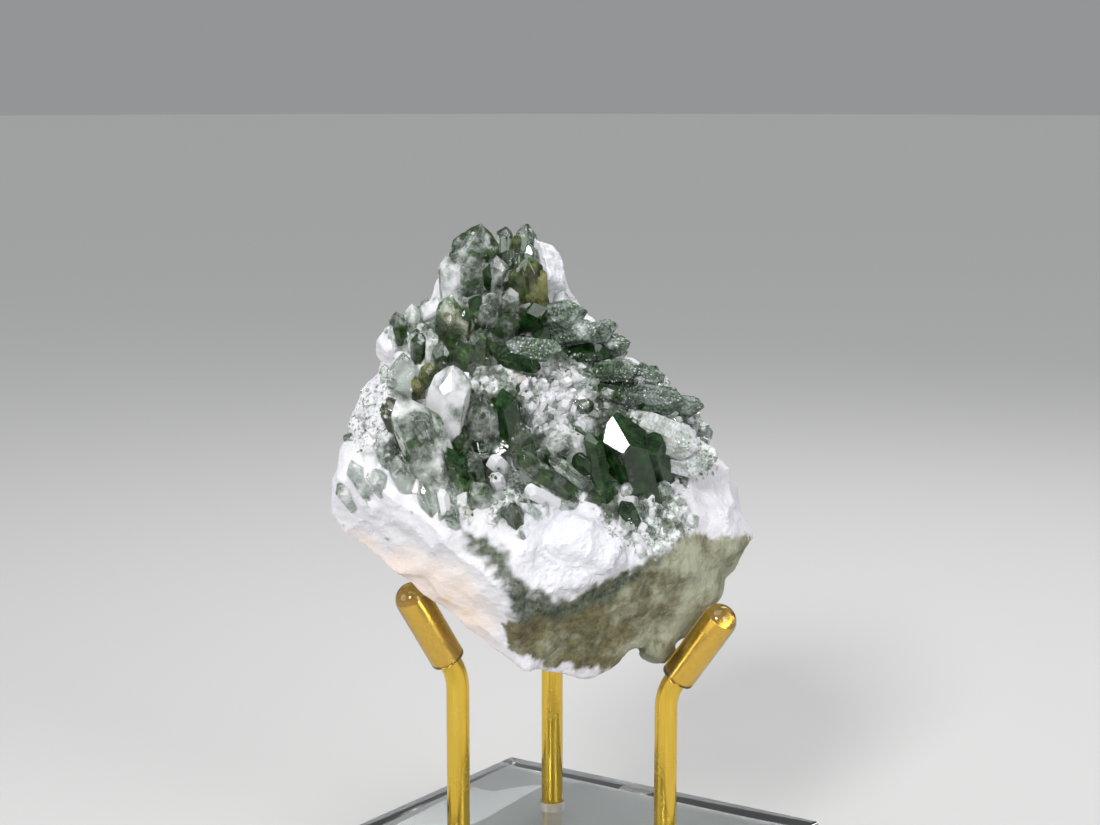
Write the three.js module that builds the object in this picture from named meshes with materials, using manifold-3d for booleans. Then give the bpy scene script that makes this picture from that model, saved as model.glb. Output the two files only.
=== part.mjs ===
// Chlorite quartz: a cluster of six-sided quartz points grown together on milky quartz with a
// green chlorite crust, resting on the three capped arms of a clear display stand.
// Millimetres, +Z up. The origin is the centre of the underside of the stand's base, and the
// crystal face of the cluster looks along -Y.
import * as THREE from "three";
import { ConvexGeometry } from "three/addons/geometries/ConvexGeometry.js";
import { mergeVertices } from "three/addons/utils/BufferGeometryUtils.js";
import Module from "manifold-3d";

const wasm = await Module();
wasm.setup();

const GAP = 0.3; // clearance between pieces that touch

// The stand: a square acrylic plate with three bent brass rods, each with a clear vinyl cap.
const BASE_SIDE = 70;
const BASE_HEIGHT = 10;
const BASE_TURN = 11; // degrees that the plate's back corner stands off +Y
const BASE_BEVEL = 0.8;
const ROD_RADIUS = 2;
const ROD_SIDES = 14;
const ROD_RING = 21; // from the plate's centre to each rod
const SOCKET_DEPTH = 6;
const BEND_RADIUS = 9;
const BEND_STEPS = 4;
const CAP_RADIUS = 3.05;
const CAP_LENGTH = 16.4;
const CAP_BORE = 14; // how far the rod goes into the cap
const CAP_START = 3.6; // from the bend's corner to the cap's open end, along the arm
// Degrees round the plate from +X, the height of the bend's corner above the plate, and the
// degrees that the arm leans outwards.
const ARMS = {
  left: { around: 213.5, bend: 33.8, tilt: 31 },
  right: { around: 333.5, bend: 30, tilt: 35 },
  back: { around: 93, bend: 32, tilt: 33 },
};

// The cluster, in its own frame: X to the right and Z up across the crystal face, Y into it.
const CLUSTER_PLACE = new THREE.Vector3(-3.2, 0, 81.4);
const CLUSTER_LEAN = 10; // degrees that the crystal face leans back in the stand
const ROCK_DETAIL = 8;
const ROCK_SQUARENESS = 3;
const ROCK_FRONT = 17; // from the rim's plane to the crystal face
const ROCK_RIM = { x: 0.33, z: 0.325 }; // the rim's plane: its left and lower sides come forward
const ROCK_BACK = { y: 28.1, z: -0.17 }; // the broken back stands about upright
const ROCK_HEART = new THREE.Vector3(0, 4, -4);
const ROCK_OUTLINE = [
  [-4, 34.5], [1.5, 36.2], [4, 31], [5.3, 26.5], [7, 22], [11, 17.8], [17.3, 14.6],
  [23, 11.3], [27, 7.8], [29.3, 4.8], [30.8, 1], [32.2, -3], [34.9, -7], [36.2, -11.8],
  [37.4, -15.4], [34.8, -19.8], [32.4, -22.8], [31.2, -26], [27, -31], [22.6, -34],
  [16.2, -34.6], [13.4, -36.2], [8.4, -38.8], [4.9, -38.5], [-1, -36.6], [-5.3, -36],
  [-8.5, -33.1], [-13.9, -28.5], [-18.2, -26.3], [-23.4, -24.1], [-28.2, -22],
  [-31, -18.8], [-33, -13.4], [-34.8, -10.6], [-34.8, -5.2], [-33.2, 2], [-30.8, 8],
  [-28.2, 13], [-26, 18.5], [-23.4, 23.2], [-19, 26.6], [-15.8, 31], [-10, 33.5],
]; // X and Z, clockwise from the top
const ROCK_FACETS = [
  { normal: [-0.45, -0.7, -0.55], distance: 33 }, // broken white underside, lower left
  { normal: [0.42, -0.78, -0.47], distance: 29 }, // chlorite underside, lower right
  { normal: [-0.6, 0.2, -0.77], distance: 27.5 }, // leans on the left arm, behind the rim
  { normal: [-0.06, 0.92, -0.39], distance: 36.9 }, // leans on the back arm
  { normal: [0.55, 0.6, -0.55], distance: 32 },
  { normal: [-0.6, 0.75, 0.25], distance: 27 },
  { normal: [0.5, 0.8, 0.3], distance: 25 },
];

const radians = THREE.MathUtils.degToRad;

// Bumps from about -1 to 1: three crossing waves, each bent by a slower one.
function bumps({ x, y, z }, wavelength) {
  const k = (2 * Math.PI) / wavelength;
  return (
    (Math.sin(k * (x + 0.4 * y) + 1.3 * Math.sin(0.6 * k * z)) +
      Math.sin(k * (y - 0.5 * z) + 1.7 * Math.sin(0.7 * k * x) + 2) +
      Math.sin(k * (z + 0.3 * x) + 1.5 * Math.sin(0.5 * k * y) + 4)) /
    2
  );
}

// A closed geometry as a solid that can be joined and cut.
function solidOf(geometry) {
  const bare = geometry.clone();
  bare.deleteAttribute("normal");
  bare.deleteAttribute("uv");
  const merged = mergeVertices(bare, 1e-4);
  return new wasm.Manifold(
    new wasm.Mesh({
      numProp: 3,
      vertProperties: new Float32Array(merged.attributes.position.array),
      triVerts: new Uint32Array(merged.index.array),
    }),
  );
}

function geometryOf(solid) {
  const { vertProperties, triVerts } = solid.getMesh();
  const geometry = new THREE.BufferGeometry();
  geometry.setAttribute("position", new THREE.BufferAttribute(vertProperties, 3));
  geometry.setIndex(new THREE.BufferAttribute(triVerts, 1));
  geometry.computeVertexNormals();
  return geometry;
}

function piece(name, geometry, material) {
  const mesh = new THREE.Mesh(geometry, material);
  mesh.name = name;
  return mesh;
}

// Distance from the middle of the rock to its outline, in a direction across the crystal face.
const outlineTurns = ROCK_OUTLINE.map(([x, z]) => ({
  angle: Math.atan2(z, x),
  reach: Math.hypot(x, z),
})).sort((a, b) => a.angle - b.angle);

function outlineReach(angle) {
  const last = outlineTurns.length - 1;
  let next = outlineTurns.findIndex((turn) => turn.angle > angle);
  if (next < 0) next = 0;
  const before = outlineTurns[next === 0 ? last : next - 1];
  const after = outlineTurns[next];
  const full = 2 * Math.PI;
  const span = (after.angle - before.angle + full) % full;
  const share = ((angle - before.angle + full) % full) / span;
  return THREE.MathUtils.lerp(before.reach, after.reach, share);
}

// The rock's surface in a direction: a thick slab of that outline, whose rim lies in a slanting
// plane, split by flat breaks.
function rockPoint(direction) {
  const across = Math.hypot(direction.x, direction.z);
  const reach =
    (across ** ROCK_SQUARENESS + Math.abs(direction.y) ** ROCK_SQUARENESS) **
    (-1 / ROCK_SQUARENESS);
  const width = reach * outlineReach(Math.atan2(direction.z, direction.x));
  const place = new THREE.Vector3(direction.x * width, 0, direction.z * width);
  const rim = ROCK_RIM.x * place.x + ROCK_RIM.z * place.z;
  const back = ROCK_BACK.y + ROCK_BACK.z * place.z - rim;
  place.y = rim + direction.y * reach * (direction.y < 0 ? ROCK_FRONT : back);
  const arm = place.clone().sub(ROCK_HEART);
  place.addScaledVector(arm.clone().normalize(), 0.6 * bumps(place, 16) + 0.3 * bumps(place, 7));
  for (const { normal, distance } of ROCK_FACETS) {
    const facing = new THREE.Vector3(...normal).normalize();
    const limit = distance - facing.dot(ROCK_HEART) + 0.3 * bumps(place, 9);
    arm.subVectors(place, ROCK_HEART);
    const over = arm.dot(facing) / limit;
    if (over > 1) place.copy(ROCK_HEART).addScaledVector(arm, 1 / over);
  }
  return place;
}

function rockGeometry() {
  const geometry = new THREE.IcosahedronGeometry(1, ROCK_DETAIL);
  const places = geometry.attributes.position;
  for (let i = 0; i < places.count; i++) {
    const place = rockPoint(new THREE.Vector3().fromBufferAttribute(places, i).normalize());
    places.setXYZ(i, place.x, place.y, place.z);
  }
  return geometry;
}

// The flat breaks of a lump, and how far from its middle they lie, as a share of its half size.
const LUMP_BREAKS = [
  [-0.5, -0.75, 0.45], [0.6, -0.7, 0.3], [0.2, -0.6, -0.8], [-0.8, -0.3, -0.5],
  [0.9, 0.2, -0.3], [-0.2, 0.3, 0.95], [-0.7, 0.1, 0.7], [0.5, -0.2, 0.85],
];
const BREAK_SHARE = 0.8;

// A rough lump of broken quartz, at a centre with three half sizes.
function lump([x, y, z], [width, depth, height], turn) {
  const geometry = new THREE.IcosahedronGeometry(1, 1);
  const places = geometry.attributes.position;
  for (let i = 0; i < places.count; i++) {
    const place = new THREE.Vector3().fromBufferAttribute(places, i).normalize();
    place.multiplyScalar(1 + 0.16 * bumps(place.clone().addScalar(x + z), 2));
    for (const facing of LUMP_BREAKS) {
      const over = place.dot(new THREE.Vector3(...facing).normalize()) / BREAK_SHARE;
      if (over > 1) place.divideScalar(over);
    }
    places.setXYZ(i, place.x * width, place.y * depth, place.z * height);
  }
  return geometry.rotateY(radians(turn)).translate(x, y, z);
}

const LUMPS = [
  { at: [1.3, -1.2, 31], size: [2.9, 6, 7], turn: -17 }, // white block right of the peak
  { at: [-24.6, -9.5, 17.6], size: [3.6, 4.2, 4.4], turn: 10 }, // white chunk on the left shoulder
  { at: [1.4, 9, 30.6], size: [3, 4.6, 6.6], turn: -20 },
  { at: [-19, 2, 22], size: [4.5, 5, 4], turn: 30 }, // cream shoulder
  { at: [5.6, -18.6, -15.6], size: [8.2, 3.2, 5.6], turn: 12 }, // white sugary swell above the ridge
  { at: [1.8, -18.8, -20.4], size: [4.6, 2.6, 3.4], turn: -20 },
  { at: [11.2, -17, -18.2], size: [3.6, 2.2, 3.2], turn: -30 },
  { at: [-26, -20, -8.8], size: [4.6, 2.6, 3.6], turn: 10 }, // white swell at the left
  { at: [28.6, 3, -7.5], size: [5.4, 9, 9], turn: -15 }, // white right flank
  { at: [20.5, -3, -33.8], size: [3.8, 5.4, 3.4], turn: -35 }, // chlorite spur at the bottom
  { at: [17.4, -5.4, 12.2], size: [5.4, 3.4, 2.4], turn: 14 }, // rough masses at the right
  { at: [20, -7.6, 8], size: [6, 3.4, 2.6], turn: 12 },
  { at: [26, -2.6, 5.6], size: [3.6, 4, 2.6], turn: 50 },
  { at: [22.4, -9.6, 1.4], size: [8.2, 3.4, 3.6], turn: 28 },
];

// A quartz point along +Z from the origin: a prism whose shoulders step up and down, with a
// chisel tip that stands off centre.
const SHOULDER_STEPS = [0.05, -0.35, 0.3, -0.1, 0.4, -0.3];
const TIP_SHARE = 0.75; // of the width
const ROOT_DEPTH = 0.35; // of the width, that a point's root lies under the rock's face
const ROOT_SINK = 0.4; // of the width, that a point reaches on beyond its root

function quartzPoint(length, width, flat, variant) {
  const tip = Math.min(TIP_SHARE * width * (0.6 + 0.4 * flat), 0.6 * length);
  const points = [];
  for (let side = 0; side < 6; side++) {
    const angle = (side * Math.PI) / 3;
    const x = (width / 2) * Math.cos(angle);
    const y = (width / 2) * flat * Math.sin(angle);
    const step = tip * SHOULDER_STEPS[(side + variant) % 6];
    points.push(new THREE.Vector3(x, y, 0), new THREE.Vector3(x, y, length - tip + step));
  }
  const off = width * 0.14 * ((variant % 3) - 1);
  for (const end of [-1, 1]) {
    points.push(new THREE.Vector3(off + end * width * 0.07, off * 0.4 * flat, length));
  }
  return new ConvexGeometry(points);
}

// The points that make the cluster's look. Each is [root X, root Z, tip X, tip Z, rise of the
// tip towards the viewer, width, flatness, turn in degrees]. A root lies on the rock.
const PEAK = [
  [-12.9, 25.5, -10.3, 38.8, 1.5, 9.2, 0.75, 0],
  [-14.6, 25.5, -15.2, 34.4, 0.8, 5.4, 0.8, 12],
  [-6.4, 33, -6.2, 39.3, 1.5, 3, 1, 20],
  [-2.8, 32, -2.3, 39.7, 0, 3.9, 0.9, -15],
  [-4.4, 33, -4.2, 37.6, 2.5, 2.3, 1, 0],
  [-3.5, 30.5, -3.8, 35.3, 3, 2.1, 1, 10],
  [-1.7, 23.6, -2.1, 32.8, 4.4, 5.8, 0.6, 5],
  [-3.8, 23.8, -3.9, 31.4, 4, 3.4, 0.8, -6],
  [3.2, 23.6, 4, 27.6, 1, 3.2, 0.9, 5],
  [-0.6, 30.6, -1.9, 35.6, 1.8, 2.6, 0.9, -11],
  [-8.7, 31, -8.9, 35.8, 3.4, 3, 1, 10],
  [-7.2, 25.4, -7, 33.2, 4.2, 3.8, 0.9, 22],
  [-6.1, 30, -5.8, 34.4, 4, 2.9, 1, 35],
  [-8.2, 27, -8.6, 31.6, 4.6, 3.2, 0.9, 0],
  [-5.2, 26.2, -5.4, 30.6, 4.8, 3, 0.9, 10],
  [-5.2, 22.6, -5, 27.2, 4.8, 3.4, 0.9, 10],
  [-8.6, 23, -8.4, 26.6, 4.4, 3.2, 0.9, 10],
];
const LEFT_SHOULDER = [
  [-15, 16.5, -14.2, 25.8, 3, 6.6, 0.8, -15],
  [-24, 18.8, -24.6, 23.6, -1.5, 3.2, 1, 10],
  [-21.4, 20.5, -21.8, 25, -1, 4, 0.8, 70],
  [-18.2, 21.4, -17.8, 26.2, -0.3, 5.2, 0.6, 30],
  [-21.4, 16.4, -20.8, 20.4, 0.4, 2.6, 0.8, -10],
  [-20.6, 14.6, -20.4, 19.6, 1.5, 2.8, 0.9, 28],
  [-18.4, 12, -18.1, 20.4, -0.2, 2.4, 0.9, 0],
  [-16.2, 13.2, -16.4, 18.2, 1.9, 4, 0.9, 25],
  [-12.6, 13, -13.4, 18.8, 1.8, 4.6, 0.8, 12],
  [-10.4, 14.4, -10.2, 20.6, 0.8, 3.8, 0.9, 40],
  [-22.6, 9, -22.9, 16.2, 0.2, 6, 0.85, 12],
  [-19.8, 10, -18.2, 14.6, 1.7, 3, 0.8, 20],
  [-20.3, 8, -20.4, 12.2, 1.8, 2.6, 0.9, 0],
  [-16.2, 2.2, -14.3, 13.9, 3.7, 7.4, 0.9, -13],
  [-26.3, 11.6, -26.4, 14.6, -0.5, 1.9, 1, 0],
  [-28.2, 6.4, -28.8, 9.8, -3, 3.4, 0.8, 15],
];
const RIGHT_LEDGE = [
  [-1.5, 21.8, 8, 23.6, 1.5, 6.4, 0.85, 10],
  [1.6, 19.6, 9.6, 20.8, 2.5, 4.6, 0.9, -20],
  [4.5, 19, 13.6, 21, 0.5, 4.4, 0.9, -10],
  [7, 16.8, 15.7, 18.7, 0.5, 4.4, 0.85, 14],
  [4.6, 16.4, 12.4, 17, -1, 3.4, 0.9, 0],
  [-4, 20.4, 1, 24.2, 3, 4.2, 0.9, 22],
  [-9.4, 20, -8.4, 25.4, 2.5, 3.8, 0.9, 8],
  [-7.4, 18, -4.2, 23, 3, 3.8, 0.9, 30],
  [-8.6, 17.8, 3.6, 16.4, 3, 4.4, 0.5, -8],
  [-7.6, 15.6, 0.2, 13.8, 3.3, 2.8, 0.7, 12],
  [9.4, 13.6, 16.4, 13.4, 5.6, 4, 0.8, 5],
  [13.6, 12.8, 21.4, 12.2, 2, 4.6, 0.8, 25],
  [12, 9.6, 24.6, 8, 4.9, 5.4, 0.75, -6],
  [15.4, 8.4, 10.4, 10, 2.7, 2, 0.9, 0],
  [22.6, 7.6, 28.2, 6.8, -1, 4.6, 0.9, 12],
  [14.6, 5.2, 26.6, 0.2, 5.5, 6.8, 0.65, 0],
  [18.4, -0.4, 28.6, -3, 2.2, 5.4, 0.7, 12],
  [17, 5.8, 24.6, 4.4, 3.7, 2.4, 0.8, 30],
];
const HEART = [
  [16.4, -7.2, 12.9, 6, 2.3, 9.6, 0.9, -10],
  [20.8, -5.6, 18.2, 2.6, 5.6, 5.2, 0.8, 10],
  [11, -9, 8.6, 3.2, 0.8, 3.6, 0.8, 8],
  [-9.2, -0.6, -10, 8.8, 2.2, 5.4, 0.9, 5],
  [-4.2, -0.4, -6.2, 10.2, 1.9, 4.8, 0.85, -12],
  [-1.6, -5, -4, 4.6, 0.8, 4.8, 0.7, 0],
  [5.4, -4.4, 3, 4.6, 1.4, 9, 0.45, 0],
  [9, -4.8, 5.8, -0.9, 3, 3.2, 0.8, 0],
  [9.4, -7.4, 2, -1.4, 5.3, 2.4, 0.8, 0],
  [7.2, -9.2, -4.6, -0.4, 5, 4, 0.6, 8],
  [5, -10, -5, -3.6, 3.7, 3, 0.7, 20],
  [-5, -4.6, -8.3, -1.2, 3.7, 3.2, 0.7, 10],
  [-6.4, -6.4, -7.6, -4, 2.8, 2.6, 0.8, 30],
  [2, -8.8, -2.4, -6.4, 3.5, 2.8, 0.8, 0],
  [-13.2, -5, -14.4, 0.4, 1.9, 4.4, 0.9, 14],
  [-10.6, -5.2, -11.4, -0.4, 1.9, 3.6, 0.9, 6],
  [-9.4, -9, -10.4, -5.4, 3.1, 3.6, 0.9, 26],
  [-3.6, -12.4, -5, -9, 2.2, 3.2, 0.9, 40],
  [15.6, -12.4, 14, -8.8, 2.7, 3.4, 0.9, 10],
  [20, -8.6, 21.6, -5.4, 0, 3.4, 0.9, 0],
];
const LEFT_FACE = [
  [-15.2, -9.2, -22.2, 9.4, 1.2, 8.6, 0.7, 24],
  [-21.5, -1, -25.6, 8.8, -0.6, 4.6, 0.75, 8],
  [-24, -3.6, -26.6, 3.4, -1.2, 4.4, 0.8, 4],
  [-21.8, -7, -23.6, -1, 0.4, 4.2, 0.85, 22],
  [-27.6, -2.6, -28.6, 3, -1.6, 4, 0.8, 12],
  [-30, 1.6, -31, 6, -3, 3.4, 0.8, 40],
  [-29.4, 1.4, -33, 2.6, -2.8, 3.2, 0.7, 0],
  [-29, -5.6, -31.4, -1.8, -0.8, 4.2, 0.9, 12],
  [-31.4, -8.6, -33.6, -5.6, 1.6, 3.2, 0.9, 4],
  [-26.2, -6, -27.6, -3.2, 0.3, 3.4, 1, 20],
  [-17.6, -10.2, -19.2, -5, 0.9, 4, 0.85, 50],
  [-14, -12.8, -15, -10, 2.2, 2.4, 1, 0],
];
const POINTS = [...PEAK, ...LEFT_SHOULDER, ...RIGHT_LEDGE, ...HEART, ...LEFT_FACE];

// Patches of small points that bristle outwards: middle X and Z, half sizes, how many, width.
const DRUSES = [
  { at: [2, 7], half: [5, 4.6], count: 11, width: 3 }, // bright white druse in the middle
  { at: [-7.4, 11.8], half: [5, 1.7], count: 4, width: 2.6 },
  { at: [-9, 23], half: [4.4, 2.4], count: 4, width: 2.5 },
  { at: [11, 9], half: [4.6, 2.6], count: 4, width: 2.6 },
  { at: [16, -11.5], half: [6, 2.6], count: 3, width: 2.6 },
  { at: [-6.4, -10], half: [5, 2.8], count: 5, width: 2.6 },
];
const GOLDEN = 0.618034;

const rockShapes = [rockGeometry(), ...LUMPS.map(({ at, size, turn }) => lump(at, size, turn))];
const rockMeshes = rockShapes.map((shape) => new THREE.Mesh(shape));
const towardsRock = new THREE.Vector3(0, 1, 0);
const caster = new THREE.Raycaster();

// The place on the rock's crystal face at X and Z.
function onRock(x, z) {
  caster.set(new THREE.Vector3(x, -60, z), towardsRock);
  const [hit] = caster.intersectObjects(rockMeshes);
  return hit ? hit.point : new THREE.Vector3(x, ROCK_RIM.x * x + ROCK_RIM.z * z, z);
}

// Stands a quartz point from its root on the rock to its tip, with its broad face to the viewer.
// The root is moved into the rock, and the point starts a little before it.
function plant(root, tip, width, flat, turn, variant) {
  const foot = root.clone().addScaledVector(towardsRock, ROOT_DEPTH * width);
  const along = tip.clone().sub(foot).normalize();
  foot.addScaledVector(along, -ROOT_SINK * width);
  const broad = new THREE.Vector3(0, -1, 0).addScaledVector(along, along.y).normalize();
  const side = new THREE.Vector3().crossVectors(broad, along);
  const stand = new THREE.Matrix4().makeBasis(side, broad, along).setPosition(foot);
  return quartzPoint(tip.distanceTo(foot), width, flat, variant)
    .rotateZ(radians(turn))
    .applyMatrix4(stand);
}

function largePoints() {
  return POINTS.map(([x, z, tipX, tipZ, rise, width, flat, turn], i) => {
    const root = onRock(x, z);
    return plant(root, new THREE.Vector3(tipX, root.y - rise, tipZ), width, flat, turn, i);
  });
}

function drusePoints({ at: [x, z], half: [across, up], count, width }) {
  return Array.from({ length: count }, (_, i) => {
    const ring = Math.sqrt((i + 0.5) / count);
    const turn = 2 * Math.PI * GOLDEN * i;
    const dx = ring * Math.cos(turn);
    const dz = ring * Math.sin(turn);
    const size = width * (0.75 + 0.5 * ((i * GOLDEN) % 1));
    const direction = new THREE.Vector3(0.7 * dx, -1, 0.3 + 0.7 * dz).normalize();
    const root = onRock(x + across * dx, z + up * dz);
    const tip = root.clone().addScaledVector(direction, 1.3 * size);
    return plant(root, tip, size, 1, (i * 47) % 60, i);
  });
}

function clusterGeometry() {
  const shapes = [...rockShapes, ...largePoints(), ...DRUSES.flatMap(drusePoints)];
  const grown = wasm.Manifold.union(shapes.map(solidOf));
  const seats = Object.values(ARMS).map((arm) => solidOf(seatGeometry(arm)));
  const seated = seats.reduce((left, seat) => left.subtract(seat), grown);
  // Crowded points can close a tiny void between them: only the outer body is kept.
  const [body] = seated.decompose().sort((a, b) => b.volume() - a.volume());
  return geometryOf(body);
}

// A rod's line: stations joined by straight steps, so that only the bend has close ones.
class StationedLine extends THREE.Curve {
  constructor(stations) {
    super();
    this.stations = stations;
  }
  getPoint(t) {
    const place = t * (this.stations.length - 1);
    const i = Math.min(Math.floor(place), this.stations.length - 2);
    return this.stations[i].clone().lerp(this.stations[i + 1], place - i);
  }
  getUtoTmapping(u) {
    return u;
  }
}

// Where an arm runs, in the plane of its bend: X outwards from the rod, Z up from the plate.
function armPoint(along, { bend, tilt }) {
  return new THREE.Vector3(
    along * Math.sin(radians(tilt)),
    0,
    bend + along * Math.cos(radians(tilt)),
  );
}

function rodStations(arm) {
  const reach = BEND_RADIUS * Math.tan(radians(arm.tilt) / 2);
  const stations = [new THREE.Vector3(0, 0, GAP - SOCKET_DEPTH)];
  for (let i = 0; i <= BEND_STEPS; i++) {
    const turned = (radians(arm.tilt) * i) / BEND_STEPS;
    stations.push(
      new THREE.Vector3(
        BEND_RADIUS * (1 - Math.cos(turned)),
        0,
        arm.bend - reach + BEND_RADIUS * Math.sin(turned),
      ),
    );
  }
  stations.push(armPoint(CAP_START + CAP_BORE - GAP, arm));
  return stations;
}

function circle(radius, sides) {
  const corners = Array.from({ length: sides }, (_, i) => {
    const angle = (2 * Math.PI * i) / sides;
    return new THREE.Vector2(radius * Math.cos(angle), radius * Math.sin(angle));
  });
  return new THREE.Shape(corners);
}

function rodGeometry(arm) {
  const stations = rodStations(arm);
  return new THREE.ExtrudeGeometry(circle(ROD_RADIUS, ROD_SIDES), {
    extrudePath: new StationedLine(stations),
    steps: stations.length - 1,
  });
}

// The rounded upper end of a cap's profile, from its side to the axis.
function domeProfile(radius, top) {
  return [0, 30, 60, 90].map((degrees) => {
    const across = degrees < 90 ? radius * Math.cos(radians(degrees)) : 0;
    return new THREE.Vector2(across, top - radius + radius * Math.sin(radians(degrees)));
  });
}

// Turns a profile round an arm, from the cap's open end upwards.
function turnedOnArm(profile, arm) {
  const start = armPoint(CAP_START, arm);
  return new THREE.LatheGeometry(profile, ROD_SIDES)
    .rotateX(Math.PI / 2)
    .rotateY(radians(arm.tilt))
    .translate(start.x, start.y, start.z);
}

// A soft tube, open at its lower end, with a domed top.
function capGeometry(arm) {
  const bore = ROD_RADIUS + GAP;
  const lip = 0.3;
  return turnedOnArm(
    [
      new THREE.Vector2(0, CAP_BORE),
      new THREE.Vector2(bore, CAP_BORE),
      new THREE.Vector2(bore, 0),
      new THREE.Vector2(CAP_RADIUS - lip, 0),
      new THREE.Vector2(CAP_RADIUS, lip),
      ...domeProfile(CAP_RADIUS, CAP_LENGTH),
    ],
    arm,
  );
}

// Places a rod or a cap, made in the plane of its bend, round the plate.
function onRing(mesh, { around }) {
  const angle = radians(around);
  mesh.position.set(ROD_RING * Math.cos(angle), ROD_RING * Math.sin(angle), BASE_HEIGHT);
  mesh.rotation.z = angle;
  return mesh;
}

// The room that the cluster leaves for a cap, in the cluster's own frame.
function seatGeometry(arm) {
  const radius = CAP_RADIUS + GAP;
  const room = [new THREE.Vector2(0, 0), new THREE.Vector2(radius, 0)];
  const seat = new THREE.Mesh(
    turnedOnArm([...room, ...domeProfile(radius, CAP_LENGTH + GAP)], arm),
  );
  onRing(seat, arm).updateMatrix();
  const toCluster = new THREE.Matrix4()
    .makeRotationX(radians(-CLUSTER_LEAN))
    .setPosition(CLUSTER_PLACE)
    .invert();
  return seat.geometry.applyMatrix4(toCluster.multiply(seat.matrix));
}

function baseGeometry() {
  const half = BASE_SIDE / 2 - BASE_BEVEL;
  const square = new THREE.Shape([
    new THREE.Vector2(-half, -half),
    new THREE.Vector2(half, -half),
    new THREE.Vector2(half, half),
    new THREE.Vector2(-half, half),
  ]);
  const plate = new THREE.ExtrudeGeometry(square, {
    depth: BASE_HEIGHT - 2 * BASE_BEVEL,
    bevelThickness: BASE_BEVEL,
    bevelSize: BASE_BEVEL,
    bevelSegments: 1,
  })
    .translate(0, 0, BASE_BEVEL)
    .rotateZ(radians(45 + BASE_TURN));
  const sockets = Object.values(ARMS).map(({ around }) => {
    const angle = radians(around);
    return new THREE.CylinderGeometry(
      ROD_RADIUS + GAP,
      ROD_RADIUS + GAP,
      2 * SOCKET_DEPTH,
      ROD_SIDES,
    )
      .rotateX(Math.PI / 2)
      .translate(ROD_RING * Math.cos(angle), ROD_RING * Math.sin(angle), BASE_HEIGHT);
  });
  return geometryOf(sockets.map(solidOf).reduce((left, hole) => left.subtract(hole), solidOf(plate)));
}

const quartz = new THREE.MeshStandardMaterial({
  color: 0xb9c2b6,
  roughness: 0.35,
  metalness: 0,
});
const acrylic = new THREE.MeshStandardMaterial({
  color: 0xe6eaec,
  roughness: 0.05,
  metalness: 0,
  transparent: true,
  opacity: 0.35,
});
const brass = new THREE.MeshStandardMaterial({ color: 0xc9a227, roughness: 0.25, metalness: 1 });
const vinyl = new THREE.MeshStandardMaterial({
  color: 0xe3c65a,
  roughness: 0.15,
  metalness: 0,
  transparent: true,
  opacity: 0.5,
});

const cluster = new THREE.Group();
cluster.position.copy(CLUSTER_PLACE);
cluster.rotation.x = radians(-CLUSTER_LEAN);
cluster.add(piece("quartz_cluster", clusterGeometry(), quartz));

const stand = new THREE.Group();
stand.add(piece("stand_base", baseGeometry(), acrylic));
for (const [side, arm] of Object.entries(ARMS)) {
  stand.add(onRing(piece(`rod_${side}`, rodGeometry(arm), brass), arm));
  stand.add(onRing(piece(`cap_${side}`, capGeometry(arm), vinyl), arm));
}

const part = new THREE.Group();
part.add(cluster, stand);
export default part;
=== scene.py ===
# %% [markdown]
# # Chlorite quartz on its stand
#
# A hand specimen of chlorite quartz: clear, milky and green quartz points grown on milky quartz,
# with a dull green chlorite crust below. It leans back on the three capped brass arms of a clear
# display stand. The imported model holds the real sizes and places. This script gives each of its
# pieces a finely modelled surface and a material, and changes no size.

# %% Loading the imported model
import math
import random

import bpy
import numpy as np
from mathutils import Matrix, Vector, noise
from mathutils.bvhtree import BVHTree
from mathutils.kdtree import KDTree


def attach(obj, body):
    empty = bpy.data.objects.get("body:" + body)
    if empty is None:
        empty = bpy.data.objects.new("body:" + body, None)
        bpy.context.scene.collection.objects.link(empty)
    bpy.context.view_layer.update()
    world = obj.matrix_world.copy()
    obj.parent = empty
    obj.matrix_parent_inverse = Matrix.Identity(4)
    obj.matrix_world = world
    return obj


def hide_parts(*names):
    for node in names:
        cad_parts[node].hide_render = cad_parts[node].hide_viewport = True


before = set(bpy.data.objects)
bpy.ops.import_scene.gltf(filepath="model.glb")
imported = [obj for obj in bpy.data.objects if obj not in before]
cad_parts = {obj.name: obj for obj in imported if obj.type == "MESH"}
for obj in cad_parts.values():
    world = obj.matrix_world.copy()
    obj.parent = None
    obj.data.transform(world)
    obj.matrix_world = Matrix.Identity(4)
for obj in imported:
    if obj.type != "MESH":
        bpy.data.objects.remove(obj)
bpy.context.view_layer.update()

MM = 0.001  # the frame is in metres, and the sizes below are in millimetres
print("nodes:", ", ".join(sorted(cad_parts)))

# %% [markdown]
# ## Two frames of reference
#
# The stand is easiest to think of in the part's own frame. The specimen leans back by ten degrees,
# so its outline and its points are laid out in a frame of their own: X to the right and Z up
# across the crystal face, and Y into the stone. One matrix takes that frame to the part's.

# %% The specimen's own frame
CLUSTER_PLACE = Vector((-3.2, 0, 81.4))
CLUSTER_LEAN = math.radians(10)
TO_PART = Matrix.Translation(CLUSTER_PLACE) @ Matrix.Rotation(-CLUSTER_LEAN, 4, "X")


def moved(points, matrix):
    """Points, one a row, moved by a matrix."""
    turn = np.array(matrix, float)
    return points @ turn[:3, :3].T + turn[:3, 3]


# %% [markdown]
# ## Camera, floor and light
#
# The camera stands about where the photograph was taken from, as far as its cues tell: 39 cm away,
# looking down by nine degrees with a long lens. A broad soft key from the upper left, placed so
# that the largest crystal faces flash, a weaker fill and a light from behind that glows through the
# thin points make a plain studio. A pale world lights the rest, because clear crystal shows what is
# around it.

# %% The camera
CAMERA_PLACE = Vector((-1.5, -385, 149))
CAMERA_PITCH = math.radians(9)
LENS = 72.7
SENSOR = 36

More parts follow.
